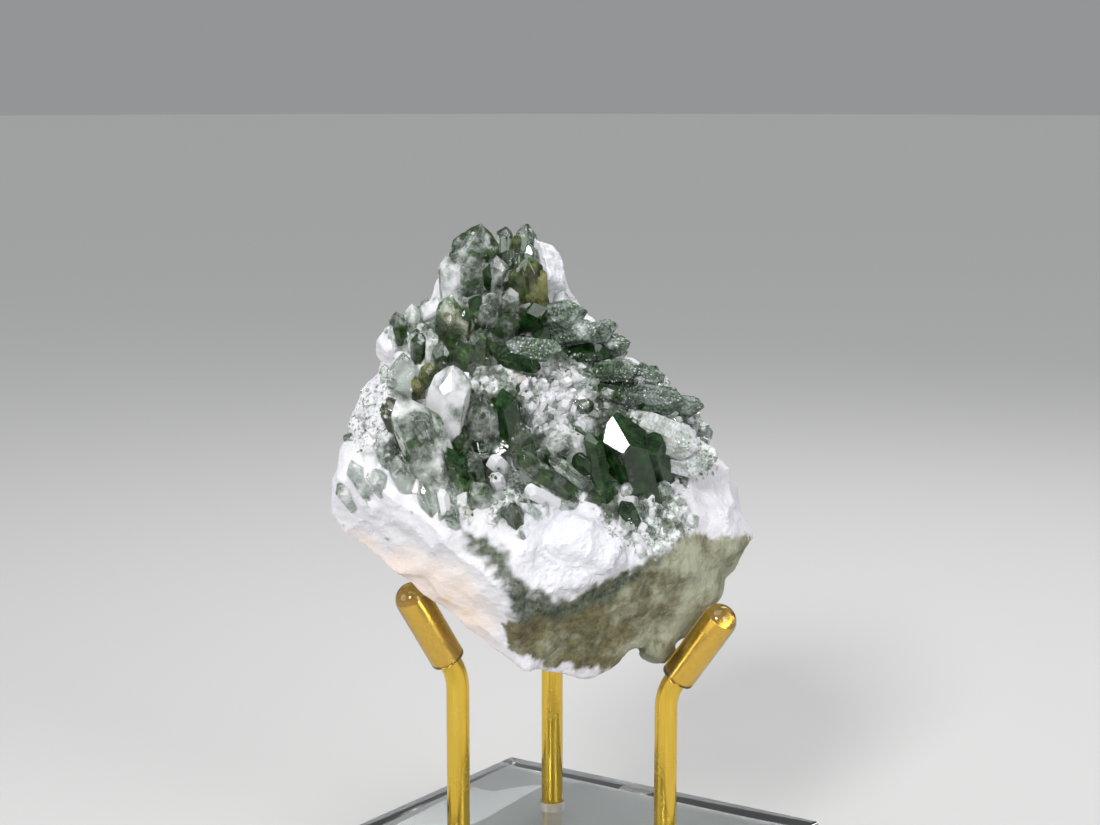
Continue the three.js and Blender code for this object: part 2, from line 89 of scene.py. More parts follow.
camera_data = bpy.data.cameras.new("camera")
camera_data.lens = LENS
camera_data.sensor_width = SENSOR
camera = bpy.data.objects.new("camera", camera_data)
camera.location = CAMERA_PLACE * MM
camera.rotation_euler = (math.pi / 2 - CAMERA_PITCH, 0, 0)
bpy.context.scene.collection.objects.link(camera)
bpy.context.scene.camera = camera


# %% The lights
def area_light(name, place, target, size, watts, colour=(1, 1, 1)):
    """A square soft light at a place in millimetres, turned to a target."""
    data = bpy.data.lights.new(name, "AREA")
    data.size = size * MM
    data.energy = watts
    data.color = colour
    light = bpy.data.objects.new(name, data)
    light.location = Vector(place) * MM
    light.rotation_euler = (Vector(target) - Vector(place)).to_track_quat("-Z", "Y").to_euler()
    bpy.context.scene.collection.objects.link(light)


STONE = (0, 0, 82)
sun = bpy.data.lights.new("key", "SUN")
sun.energy = 2.1
sun.angle = math.radians(14)
key = bpy.data.objects.new("key", sun)
key.rotation_euler = Vector((0.34, 0.8, -0.52)).to_track_quat("-Z", "Y").to_euler()
bpy.context.scene.collection.objects.link(key)
area_light("fill", (330, -380, 260), STONE, 240, 1.2)
area_light("above", (-60, -140, 560), STONE, 380, 1.3)
area_light("left", (-430, -170, 190), STONE, 260, 0.6)
area_light("behind", (160, 330, 430), STONE, 240, 0.9)

world = bpy.data.worlds.new("studio")
world.use_nodes = True
world.node_tree.nodes["Background"].inputs["Color"].default_value = (0.98, 1, 1.02, 1)
world.node_tree.nodes["Background"].inputs["Strength"].default_value = 0.3
bpy.context.scene.world = world
bpy.context.scene.view_settings.view_transform = "Standard"

# %% [markdown]
# ## Making materials
#
# Colours are written as sRGB hex values and turned to the linear values that Blender works in. One
# helper adds a node with its settings and its links, so that each material reads as a short list.


# %% Colour and node helpers
def linear(hex_colour):
    """An sRGB hex colour as linear red, green, blue and alpha."""
    channels = [int(hex_colour[i : i + 2], 16) / 255 for i in (1, 3, 5)]
    return [c / 12.92 if c <= 0.04045 else ((c + 0.055) / 1.055) ** 2.4 for c in channels] + [1]


def wire(tree, made, **inputs):
    """Gives a node values, or sockets to link; i0, i1 and so on count its inputs."""
    for name, value in inputs.items():
        key = int(name[1:]) if name[1:].isdigit() else name.replace("_", " ")
        if isinstance(value, bpy.types.NodeSocket):
            tree.links.new(value, made.inputs[key])
        else:
            made.inputs[key].default_value = value


def node(tree, kind, settings=None, **inputs):
    """Adds a node with its settings and its inputs."""
    made = tree.nodes.new(kind)
    for name, value in (settings or {}).items():
        setattr(made, name, value)
    wire(tree, made, **inputs)
    return made


def new_material(name):
    """An empty material with its surface shader, ready for nodes."""
    material = bpy.data.materials.new(name)
    material.use_nodes = True
    tree = material.node_tree
    return material, tree, tree.nodes["Principled BSDF"]


def blend_colours(tree, factor, low, high):
    """A colour between two, by a factor; each is a hex colour or a socket."""
    mix = node(tree, "ShaderNodeMix", {"data_type": "RGBA"}, i0=factor)
    for index, colour in ((6, low), (7, high)):
        if isinstance(colour, str):
            mix.inputs[index].default_value = linear(colour)
        else:
            tree.links.new(colour, mix.inputs[index])
    return mix.outputs[2]


def ramp(tree, value, low, high, to_low=0.0, to_high=1.0):
    """A value stretched from one range to another, and held at its ends."""
    return node(
        tree, "ShaderNodeMapRange", {"interpolation_type": "SMOOTHSTEP"},
        Value=value, From_Min=low, From_Max=high, To_Min=to_low, To_Max=to_high,
    ).outputs[0]


def grain(tree, place, size, detail=4, roughness=0.55):
    """Noise whose features are about a given size, in millimetres, across."""
    return node(
        tree, "ShaderNodeTexNoise", None,
        Vector=place, Scale=1 / size, Detail=detail, Roughness=roughness,
    ).outputs[0]


def arithmetic(operation):
    """A helper for one kind of arithmetic on values or sockets."""
    def work(tree, a, b=0):
        return node(tree, "ShaderNodeMath", {"operation": operation}, i0=a, i1=b).outputs[0]
    return work


plus, minus, times = arithmetic("ADD"), arithmetic("SUBTRACT"), arithmetic("MULTIPLY")
larger, absolute = arithmetic("MAXIMUM"), arithmetic("ABSOLUTE")


def stretched(tree, place, x, y, z):
    """A place scaled along each axis, so that the noise on it runs in streaks."""
    return node(tree, "ShaderNodeMapping", None, Vector=place, Scale=(x, y, z)).outputs[0]


def bump(tree, strength, distance, height, **under):
    """The normal of a surface that a height raises, by up to a distance in metres."""
    inputs = {"Strength": strength, "Distance": distance, "Height": height, **under}
    return node(tree, "ShaderNodeBump", None, **inputs).outputs[0]


def millimetres(tree):
    """The surface's place in millimetres."""
    place = node(tree, "ShaderNodeTexCoord").outputs["Object"]
    return stretched(tree, place, 1 / MM, 1 / MM, 1 / MM)


# %% [markdown]
# ## The broken quartz under the points
#
# The body of the specimen is milky quartz that was split from its vein: a thick slab with an
# irregular outline, cut by flat breaks. A fine ball of triangles is pushed out to that outline,
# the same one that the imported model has, and the flat breaks are cut by moving what lies beyond
# them. Then lumps, each with flat breaks of its own, are joined to it and the whole is remeshed
# to one skin, on which the fine relief is raised along the normals: shell-like fracture in the
# broken quartz, a sugary grain in the swells, and a granular one in the chlorite crust.

# %% The rock's form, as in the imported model
ROCK_SQUARENESS = 3
ROCK_FRONT = 17
ROCK_RIM = Vector((0.33, 0, 0.325))
ROCK_BACK = (28.1, -0.17)
ROCK_HEART = Vector((0, 4, -4))
ROCK_OUTLINE = [
    (-4, 34.5), (1.5, 36.2), (4, 31), (5.3, 26.5), (7, 22), (11, 17.8), (17.3, 14.6),
    (23, 11.3), (27, 7.8), (29.3, 4.8), (30.8, 1), (32.2, -3), (34.9, -7), (36.2, -11.8),
    (37.4, -15.4), (34.8, -19.8), (32.4, -22.8), (31.2, -26), (27, -31), (22.6, -34),
    (16.2, -34.6), (13.4, -36.2), (8.4, -38.8), (4.9, -38.5), (-1, -36.6), (-5.3, -36),
    (-8.5, -33.1), (-13.9, -28.5), (-18.2, -26.3), (-23.4, -24.1), (-28.2, -22),
    (-31, -18.8), (-33, -13.4), (-34.8, -10.6), (-34.8, -5.2), (-33.2, 2), (-30.8, 8),
    (-28.2, 13), (-26, 18.5), (-23.4, 23.2), (-19, 26.6), (-15.8, 31), (-10, 33.5),
]
ROCK_FACETS = [
    ((-0.45, -0.7, -0.55), 33), ((0.42, -0.78, -0.47), 29), ((-0.6, 0.2, -0.77), 27.5),
    ((-0.06, 0.92, -0.39), 36.9), ((0.55, 0.6, -0.55), 32), ((-0.6, 0.75, 0.25), 27),
    ((0.5, 0.8, 0.3), 25),
]
OUTLINE_TURNS = sorted((math.atan2(z, x), math.hypot(x, z)) for x, z in ROCK_OUTLINE)
OUTLINE_ANGLES = [angle for angle, _ in OUTLINE_TURNS]
OUTLINE_REACHES = [reach for _, reach in OUTLINE_TURNS]


def bumps(p, wavelength):
    """Three crossing waves, each bent by a slower one, from about -1 to 1; p is points by rows."""
    x, y, z = p.T
    k = 2 * math.pi / wavelength
    return (
        np.sin(k * (x + 0.4 * y) + 1.3 * np.sin(0.6 * k * z))
        + np.sin(k * (y - 0.5 * z) + 1.7 * np.sin(0.7 * k * x) + 2)
        + np.sin(k * (z + 0.3 * x) + 1.5 * np.sin(0.5 * k * y) + 4)
    ) / 2


def rim_depth(x, z):
    """How deep the slanting plane of the rock's rim lies at X and Z."""
    return ROCK_RIM.x * x + ROCK_RIM.z * z


def rock_points(directions):
    """The rock's surface in many directions, in the specimen's frame."""
    x, y, z = directions.T
    across = np.hypot(x, z)
    reach = (across**ROCK_SQUARENESS + np.abs(y) ** ROCK_SQUARENESS) ** (-1 / ROCK_SQUARENESS)
    outline = np.interp(np.arctan2(z, x), OUTLINE_ANGLES, OUTLINE_REACHES, period=2 * math.pi)
    place = directions * (reach * outline)[:, None]
    rim = rim_depth(place[:, 0], place[:, 2])
    back = ROCK_BACK[0] + ROCK_BACK[1] * place[:, 2] - rim
    place[:, 1] = rim + y * reach * np.where(y < 0, ROCK_FRONT, back)
    heart = np.array(ROCK_HEART)
    arm = place - heart
    arm /= np.linalg.norm(arm, axis=1, keepdims=True)
    place += arm * (0.6 * bumps(place, 16) + 0.3 * bumps(place, 7))[:, None]
    for normal, distance in ROCK_FACETS:
        facing = np.array(Vector(normal).normalized())
        limit = distance - facing @ heart + 0.3 * bumps(place, 9)
        over = np.maximum((place - heart) @ facing / limit, 1)
        place = heart + (place - heart) / over[:, None]
    return place


# %% Modelling helpers
def select_only(*pieces):
    """Selects these objects and nothing else; the first is the active one."""
    bpy.ops.object.select_all(action="DESELECT")
    for piece in pieces:
        piece.select_set(True)
    bpy.context.view_layer.objects.active = pieces[0]


def places_of(piece):
    """A mesh's points, one a row."""
    places = np.empty(len(piece.data.vertices) * 3)
    piece.data.vertices.foreach_get("co", places)
    return places.reshape(-1, 3)


def set_places(piece, places):
    """Moves a mesh's points to new places."""
    piece.data.vertices.foreach_set("co", places.ravel())
    piece.data.update()


def normals_of(piece):
    """The directions in which a mesh's points face, one a row."""
    normals = np.empty(len(piece.data.vertices) * 3)
    piece.data.vertices.foreach_get("normal", normals)
    return normals.reshape(-1, 3)


def apply_modifier(piece, kind, **settings):
    """Adds a modifier with its settings and applies it."""
    modifier = piece.modifiers.new(kind.lower(), kind)
    for name, value in settings.items():
        setattr(modifier, name, value)
    select_only(piece)
    bpy.ops.object.modifier_apply(modifier=modifier.name)


def added(operator, **settings):
    """Adds a primitive by its operator, as the only selected object."""
    bpy.ops.object.select_all(action="DESELECT")
    operator(**settings)
    return bpy.context.object


def ball(subdivisions):
    """A ball of triangles of radius 1, about the origin."""
    return added(bpy.ops.mesh.primitive_ico_sphere_add, subdivisions=subdivisions, radius=1)


def weld():
    """Joins what is doubled in the mesh being edited, turns its faces out, and ends the edit."""
    bpy.ops.mesh.select_all(action="SELECT")
    bpy.ops.mesh.remove_doubles(threshold=0.001)
    bpy.ops.mesh.normals_make_consistent(inside=False)
    bpy.ops.object.mode_set(mode="OBJECT")


# %% The rock and its lumps, joined and remeshed to one skin
SKIN_CELL = 0.5
LUMPS = [
    ((1.3, -1.2, 31), (2.9, 6, 7), -17), ((-24.6, -9.5, 17.6), (3.6, 4.2, 4.4), 10),
    ((1.4, 9, 30.6), (3, 4.6, 6.6), -20), ((-19, 2, 22), (4.5, 5, 4), 30),
    ((5.6, -18.6, -15.6), (8.2, 3.2, 5.6), 12), ((1.8, -18.8, -20.4), (4.6, 2.6, 3.4), -20),
    ((11.2, -17, -18.2), (3.6, 2.2, 3.2), -30), ((-26, -20, -8.8), (4.6, 2.6, 3.6), 10),
    ((28.6, 3, -7.5), (5.4, 9, 9), -15), ((20.5, -3, -33.8), (3.8, 5.4, 3.4), -35),
    ((17.4, -5.4, 12.2), (5.4, 3.4, 2.4), 14), ((20, -7.6, 8), (6, 3.4, 2.6), 12),
    ((26, -2.6, 5.6), (3.6, 4, 2.6), 50), ((22.4, -9.6, 1.4), (8.2, 3.4, 3.6), 28),
]

LUMP_BREAKS = [
    (-0.5, -0.75, 0.45), (0.6, -0.7, 0.3), (0.2, -0.6, -0.8), (-0.8, -0.3, -0.5),
    (0.9, 0.2, -0.3), (-0.2, 0.3, 0.95), (-0.7, 0.1, 0.7), (0.5, -0.2, 0.85),
]
BREAK_SHARE = 0.8  # of a lump's half size, where a flat break cuts it

rock = ball(7)
rock.name = "broken_quartz"
set_places(rock, rock_points(places_of(rock) / np.linalg.norm(places_of(rock), axis=1)[:, None]))
lumps = []
for (x, y, z), half_sizes, turn in LUMPS:
    lump = ball(5)
    places = places_of(lump)
    places *= (1 + 0.16 * bumps(places + x + z, 2))[:, None]
    for facing in LUMP_BREAKS:
        over = places @ np.array(Vector(facing).normalized()) / BREAK_SHARE
        places /= np.maximum(over, 1)[:, None]
    places *= half_sizes
    stand = Matrix.Translation((x, y, z)) @ Matrix.Rotation(math.radians(turn), 4, "Y")
    set_places(lump, moved(places, stand))
    lumps.append(lump)
select_only(rock, *lumps)
bpy.ops.object.join()
apply_modifier(rock, "REMESH", mode="VOXEL", voxel_size=SKIN_CELL)
print("rock skin:", len(rock.data.vertices), "points")

# %% [markdown]
# ## Areas of the stone
#
# The eye reads the stone by its areas: bright milky quartz, a smooth pinkish broken face at the
# lower left, dark green between the points, grey where chlorite is thin, and the olive crust at
# the lower right, with a dark border where it meets the white quartz. The dark green of these
# areas is chlorite's colour, partly darkened as painted shade between the points. Each area is
# one or more polygons drawn across the crystal face, with an edge that a warp of noise frays.
# Some edges are sharp, and others fade over a few millimetres. The areas decide where the relief
# is granular, and each is kept as an attribute that the material reads.

# %% The areas, in X and Z across the crystal face
AREAS = {
    "crust": [
        [(-6.5, -29.5), (-4, -28), (3, -25.5), (11, -22.5), (16, -20), (20, -17), (26, -14.5),
         (36, -15), (40, -22), (30, -34), (22, -42), (9, -37), (2, -36.5), (-5, -34)],
    ],
    "pink": [
        [(-40, -8), (-33, -12), (-26, -14), (-18, -16), (-11, -18), (-7.5, -23), (-5.5, -28),
         (-6.5, -31), (-5, -34), (0, -37), (10, -37.5), (10, -44), (-20, -44), (-40, -20)],
    ],
    "green": [
        [(-12, 35), (-8, 37), (-5, 36), (-3.5, 32.5), (0, 32), (0.6, 25.5), (3, 24), (9, 21),
         (15.5, 18), (14, 15.6), (6, 15.5), (0, 15.5), (-6, 14), (-17, 14.5), (-19, 20),
         (-17.5, 22), (-15, 25.5), (-11, 26), (-11, 31), (-13, 34)],
        [(-12.5, 10), (-3, 11), (-2.5, 3), (-0.5, 2), (8, 3.5), (8, 7), (14, 7.5), (16, 5),
         (22, 1), (23, -4), (19, -7), (14, -7), (11, -10), (8, -7), (2, -4), (-4, -3), (-6, -6),
         (-12, -8), (-17, -4), (-14, 3)],
        [(9, 11.5), (14, 11), (20, 10.5), (25, 7), (24, 6), (15, 7.5), (9, 9)],
        [(10, -9), (12, -8), (15, -10), (14, -12), (10.5, -11)],
        [(-13, -13.5), (-9, -14), (-6, -17), (-4.5, -21), (-2, -23), (3, -25), (-1, -28),
         (-4.5, -27.5), (-6, -22), (-9, -17.5), (-12, -16)],
        [(-5, -25), (1, -25), (5, -25.6), (8, -23.6), (11, -23.6), (12.5, -21.6), (17, -19.6),
         (21, -17), (20.6, -18.6), (12.5, -24.4), (6, -27.2), (-4, -27.6)],
    ],
    "grey": [
        [(-13, 14.6), (-3, 14.6), (4, 15.6), (3, 11), (-3, 10.5), (-13, 9.5)],
        [(2, 15.5), (15, 15.4), (22, 12.8), (26, 9.5), (29, 7), (30, 2), (30, -3), (24, -5),
         (21, 1), (16, 5), (10, 8), (8, 12), (2, 13)],
        [(-25, 9), (-20, 8), (-14, -4), (-11.5, -12), (-16, -10), (-20, -5), (-25, -3)],
        [(-9, -5), (2, -6), (8, -9), (-2, -10), (-2, -14), (-8, -12)],
        [(12, -9), (24, -6), (26, -14), (20, -17.5), (15, -16)],
        [(-26, 25), (-17, 26), (-17, 20), (-21, 17), (-26, 20)],
    ],
    "sugar": [
        [(-2, -9), (4, -8), (9, -10), (10.5, -14), (12.5, -16), (17, -18.5), (15, -20),
         (12, -20.5), (10.5, -22.6), (8, -21.8), (5.5, -24), (0, -22.5), (-2.5, -20), (-3, -15)],
        [(-1, 36), (1.6, 39), (5, 33), (6.5, 28), (6.4, 25.5), (1, 25.5), (-1, 32)],
    ],
}
SHARP_EDGE = (-0.4, 0.4)
EDGES = {"pink": (-0.4, 5), "green": (-1, 0.8), "grey": (-1, 0.8)}  # depths where an area fades in
BAND = [  # the mossy band and the crust's border, where no crystals grow
    (-14, -12.5), (-9, -12), (-4, -15), (0, -21), (5, -24), (12, -21.5), (19, -16.5), (26, -13),
    (29, -17), (22, -20.5), (12, -27), (5, -31), (-8, -31), (-13, -18),
]


def depth_inside(x, z, polygon):
    """How far points lie inside a polygon, in millimetres; outside it is negative."""
    inside = np.zeros(len(x), bool)
    nearest = np.full(len(x), np.inf)
    for (x0, z0), (x1, z1) in zip(polygon, polygon[1:] + polygon[:1]):
        dx, dz = x1 - x0, z1 - z0
        share = np.clip(((x - x0) * dx + (z - z0) * dz) / (dx * dx + dz * dz), 0, 1)
        nearest = np.minimum(nearest, np.hypot(x - x0 - share * dx, z - z0 - share * dz))
        crosses = (z0 > z) != (z1 > z)
        with np.errstate(divide="ignore", invalid="ignore"):
            inside ^= crosses & (x < x0 + (z - z0) * dx / dz)
    return np.where(inside, nearest, -nearest)


def noise_at(places, size, seed=0):
    """Fractal noise, about -1 to 1, at many places, whose features are about that size."""
    shift = Vector((seed, 2 * seed, 3 * seed))
    return np.array([noise.fractal(Vector(p) / size + shift, 0.9, 2, 3) for p in places])


def smooth_step(value, low, high):
    """From 0 to 1 as a value goes from low to high, eased at both ends."""
    t = np.clip((value - low) / (high - low), 0, 1)
    return t * t * (3 - 2 * t)


def area_shares(places):
    """Each area's share, 0 to 1, at many places in the specimen's frame."""
    x = places[:, 0] + 1.3 * noise_at(places, 5, 1) + 0.8 * noise_at(places, 1.6, 2)
    z = places[:, 2] + 1.3 * noise_at(places, 5, 3) + 0.8 * noise_at(places, 1.6, 4)
    behind = smooth_step(places[:, 1] - rim_depth(places[:, 0], places[:, 2]), 2, 8)
    shares = {}
    for name, polygons in AREAS.items():
        depth = np.max([depth_inside(x, z, polygon) for polygon in polygons], axis=0)
        shares[name] = smooth_step(depth, *EDGES.get(name, SHARP_EDGE)) * (1 - behind)
    patches = 0.8 * smooth_step(noise_at(places, 22, 7) + 0.3 * noise_at(places, 5, 8), 0.1, 0.6)
    shares["crust"] += patches * behind
    shares["pink"] += (1 - patches) * 0.6 * behind
    return shares


# %% Raising the fine relief
STONE_AREA = 15000  # square millimetres, about


def scallops(places, count, depth, seed):
    """Shell-like fracture: shallow bowls about random spots, which meet in sharp ridges."""
    chance = random.Random(seed)
    spots = [(Vector(places[chance.randrange(len(places))]), chance.random()) for _ in range(count)]
    tree = KDTree(count)
    for number, (spot, _) in enumerate(spots):
        tree.insert(spot, number)
    tree.balance()
    reach = math.sqrt(STONE_AREA / count)  # about how far apart the spots are on the stone
    return np.array([
        min(spots[number][1] + (apart / reach) ** 2 for _, number, apart in tree.find_n(Vector(p), 4))
        for p in places
    ]) * depth


rock_places = places_of(rock)
rock_shares = area_shares(rock_places)
broken = scallops(rock_places, 700, 0.7, 5) + 0.12 * noise_at(rock_places, 1.3, 12) - 0.5
granular = 0.45 * noise_at(rock_places, 2.2, 13) + 0.3 * noise_at(rock_places, 0.8, 14)
sugary = scallops(rock_places, 3000, 0.35, 6) + 0.15 * noise_at(rock_places, 0.8, 16)
relief = broken * (1 - 0.4 * rock_shares["pink"] - 0.5 * rock_shares["crust"])
relief += granular * (0.3 * rock_shares["crust"] + rock_shares["grey"]) + sugary * rock_shares["sugar"]
set_places(rock, rock_places + normals_of(rock) * relief[:, None])
rock_places = places_of(rock)

for area, share in rock_shares.items():
    kept = rock.data.attributes.new(area, "FLOAT", "POINT")
    kept.data.foreach_set("value", share.astype(np.float32))
rock_tree = BVHTree.FromPolygons(
    [Vector(p) for p in rock_places], [tuple(f.vertices) for f in rock.data.polygons]
)


# %% [markdown]
# ## Quartz points
#
# A quartz point is a six-sided prism closed by a pyramid of six faces, each at 51.8 degrees to the
# prism's axis. Growth in a crowd makes the faces unequal: some take over and others shrink to
# slivers. So the patterns are made as a gem cutter would make them: a six-sided bar is cut by six
# planes at that angle, at unequal heights. Each pattern has its tip at the origin and is one unit
# wide. Every point of the stone is a copy of one of them with a length of its own.

# %% Cutting the patterns
PYRAMID_TILT = math.radians(51.8)
TIP_CUTS = [
    (0.00, 0.20, 0.05, 0.42, 0.10, 0.30), (0.20, 0.00, 0.45, 0.08, 0.50, 0.12),
    (0.00, 0.55, 0.18, 0.36, 0.04, 0.60), (0.48, 0.17, 0.00, 0.26, 0.62, 0.20),
    (0.10, 0.00, 0.34, 0.50, 0.02, 0.26), (0.70, 0.20, 0.05, 0.00, 0.26, 0.55),
]  # how far each of the six faces is set back, in widths


def cut_pattern(cuts, edge):
    """A quartz point one unit wide with its tip at the origin, and its edges rounded a little."""
    pattern = added(
        bpy.ops.mesh.primitive_cylinder_add,
        vertices=6, radius=0.5, depth=2, location=(0, 0, -0.5), end_fill_type="NGON",
    )
    bpy.ops.object.transform_apply()
    bpy.ops.object.mode_set(mode="EDIT")
    for side, cut in enumerate(cuts):
        angle = math.radians(30 + 60 * side)
        normal = Vector((math.cos(angle), math.sin(angle), 0)) * math.sin(PYRAMID_TILT)
        normal.z = math.cos(PYRAMID_TILT)
        bpy.ops.mesh.select_all(action="SELECT")
        bpy.ops.mesh.bisect(
            plane_co=normal * cut * 0.3, plane_no=normal, clear_outer=True, use_fill=True
        )
    bpy.ops.mesh.select_all(action="SELECT")
    if edge:
        bpy.ops.mesh.bevel(offset=edge, segments=1, affect="EDGES")
    bpy.ops.object.mode_set(mode="OBJECT")
    places = places_of(pattern)
    places[:, 2] -= places[:, 2].max()
    faces = [tuple(f.vertices) for f in pattern.data.polygons]
    bpy.data.objects.remove(pattern)
    return places, faces


PATTERNS = [cut_pattern(cuts, 0.014) for cuts in TIP_CUTS]
DRUSE_PATTERNS = [cut_pattern(cuts, 0) for cuts in TIP_CUTS]
print("pattern faces:", [len(faces) for _, faces in PATTERNS])


# %% [markdown]
# A crowd of points is gathered as one mesh: each point's places are worked out from its pattern,
# its root, its tip, its width, its flatness and its turn. Two attributes go with it. `crystal`
# keeps the place in the point's own frame, for the fine cross lines that quartz has on its sides,
# and `growth` keeps how green, how milky and how olive the point is. Where its third value is
# below 0, the point wears a sugar coat instead: a rough skin of tiny crystals.


# %% Gathering points
PATTERN_FOOT = -1.1  # below this, a pattern's end is drawn out to the point's root
IN_FRONT = -60  # Y of a place before the crystal face, from which rays are cast
FACE_X, FACE_Z = (-37, 38), (-40, 40)  # the reach of the crystal face
INWARDS = Vector((0, 1, 0))


class Crowd:
    """Quartz points that are gathered into one mesh."""

    def __init__(self):
        self.places, self.faces, self.crystal, self.growth = [], [], [], []
        self.count = 0
        self.size = 0

    def add(self, pattern, root, tip, width, flat, turn, tint):
        """Stands a copy of a pattern from its root to its tip, its broad side to the viewer."""
        places, faces = pattern
        along = (tip - root).normalized()
        broad = Vector((0, -1, 0)) + along * along.y
        if broad.length < 0.05:
            broad = Vector((0, 0, 1)) - along * along.z
        broad.normalize()
        stand = Matrix((broad.cross(along), broad, along)).transposed().to_4x4()
        stand = Matrix.Translation(tip) @ stand @ Matrix.Rotation(turn, 4, "Z")
        own = places * np.array([width, width * flat, width])
        own[places[:, 2] < PATTERN_FOOT, 2] = -(tip - root).length
        self.places.append(moved(own, stand))
        self.faces.extend(tuple(i + self.size for i in face) for face in faces)
        self.crystal.append(own + np.array([self.count * 7.3 % 50, self.count * 3.1 % 40, 0]))
        self.growth.append(np.tile([*tint, width / 10], (len(own), 1)))
        self.size += len(own)
        self.count += 1

    def piece(self, name):
        """The crowd as one object."""
        mesh = bpy.data.meshes.new(name)
        mesh.from_pydata(np.concatenate(self.places).tolist(), [], self.faces)
        crystal = mesh.attributes.new("crystal", "FLOAT_VECTOR", "POINT")
        crystal.data.foreach_set("vector", np.concatenate(self.crystal).astype(np.float32).ravel())
        growth = mesh.color_attributes.new("growth", "FLOAT_COLOR", "POINT")
        growth.data.foreach_set("color", np.concatenate(self.growth).astype(np.float32).ravel())
        piece = bpy.data.objects.new(name, mesh)
        bpy.context.scene.collection.objects.link(piece)
        print(name, self.count, "points")
        return piece


def on_rock(x, z):
    """The place on the crystal face at X and Z."""
    hit, _, _, _ = rock_tree.ray_cast(Vector((x, IN_FRONT, z)), INWARDS)
    return hit or Vector((x, rim_depth(x, z), z))


# %% [markdown]
# The named points are listed area by area. Each line gives the root's X and Z, the tip's X and
# Z, how far the tip rises towards the viewer, the width, the flatness, the turn in degrees, and
# the kind of quartz.

# %% The points that make the stone's look
TINTS = {
    "clear": (0.1, 0.05, 0),
    "grey": (0.4, 0.35, 0),
    "smoky": (0.6, 0.25, 0),
    "green": (0.7, 0.15, 0),
    "dark": (1, 0, 0),
    "deep": (1, 0, 0),
    "olive": (0.5, 0.45, 0.9),
    "mossy": (0.7, 0.4, 0.6),
    "slate": (0.5, 0.4, 0.1),
    "haze": (0.2, 0.55, 0),
    "milky": (0.1, 0.7, 0),
    "white": (0, 0.85, 0),
    "coated": (0.85, 0.2, -0.75),
    "velvet": (0.95, 0.1, -0.7),
    "frosted": (0.35, 0.62, -0.55),
}  # how green, how milky and how olive, from 0 to 1; below 0 the last is how sugar-coated
PEAK = [
    (-12.9, 25.5, -10.3, 38.8, 1.5, 9.2, 0.75, 0, "smoky"),
    (-14.6, 25.5, -15.2, 34.4, 0.8, 5.4, 0.8, 12, "haze"), (-6.4, 33, -6.2, 39.3, 1.5, 3, 1, 20, "clear"),
    (-2.8, 32, -2.3, 39.7, 0, 3.9, 0.9, -15, "clear"), (-4.4, 33, -4.2, 37.6, 2.5, 2.3, 1, 0, "olive"),
    (-3.5, 30.5, -3.8, 35.3, 3, 2.1, 1, 10, "clear"), (-1.7, 23.6, -2.1, 32.8, 4.4, 5.8, 0.6, 5, "olive"),
    (-3.8, 23.8, -3.9, 31.4, 4, 3.4, 0.8, -6, "olive"), (3.2, 23.6, 4, 27.6, 1, 3.2, 0.9, 5, "milky"),
    (-0.6, 30.6, -1.9, 35.6, 1.8, 2.6, 0.9, -11, "clear"), (-8.7, 31, -8.9, 35.8, 3.4, 3, 1, 10, "green"),
    (-7.2, 25.4, -7, 33.2, 4.2, 3.8, 0.9, 22, "grey"), (-6.1, 30, -5.8, 34.4, 4, 2.9, 1, 35, "green"),
    (-8.2, 27, -8.6, 31.6, 4.6, 3.2, 0.9, 0, "dark"), (-5.2, 26.2, -5.4, 30.6, 4.8, 3, 0.9, 10, "green"),
    (-5.2, 22.6, -5, 27.2, 4.8, 3.4, 0.9, 10, "grey"), (-8.6, 23, -8.4, 26.6, 4.4, 3.2, 0.9, 10, "grey"),
]
LEFT_SHOULDER = [
    (-15, 16.5, -14.2, 25.8, 3, 6.6, 0.8, -15, "mossy"),
    (-24, 18.8, -24.6, 23.6, -1.5, 3.2, 1, 10, "green"), (-21.4, 20.5, -21.8, 25, -1, 4, 0.8, 70, "grey"),
    (-18.2, 21.4, -17.8, 26.2, -0.3, 5.2, 0.6, 30, "milky"),
    (-21.4, 16.4, -20.8, 20.4, 0.4, 2.6, 0.8, -10, "grey"),
    (-20.6, 14.6, -20.4, 19.6, 1.5, 2.8, 0.9, 28, "green"),
    (-18.4, 12, -18.1, 20.4, -0.2, 2.4, 0.9, 0, "grey"),
    (-16.2, 13.2, -16.4, 18.2, 1.9, 4, 0.9, 25, "green"),
    (-12.6, 13, -13.4, 18.8, 1.8, 4.6, 0.8, 12, "green"),
    (-10.4, 14.4, -10.2, 20.6, 0.8, 3.8, 0.9, 40, "green"),
    (-22.6, 9, -22.9, 16.2, 0.2, 6, 0.85, 12, "clear"),
    (-19.8, 10, -18.2, 14.6, 1.7, 3, 0.8, 20, "olive"),
    (-20.3, 8, -20.4, 12.2, 1.8, 2.6, 0.9, 0, "olive"),
    (-16.2, 2.2, -14.3, 13.9, 3.7, 7.4, 0.9, -13, "milky"),
    (-26.3, 11.6, -26.4, 14.6, -0.5, 1.9, 1, 0, "clear"),
    (-28.2, 6.4, -28.8, 9.8, -3, 3.4, 0.8, 15, "milky"),
]
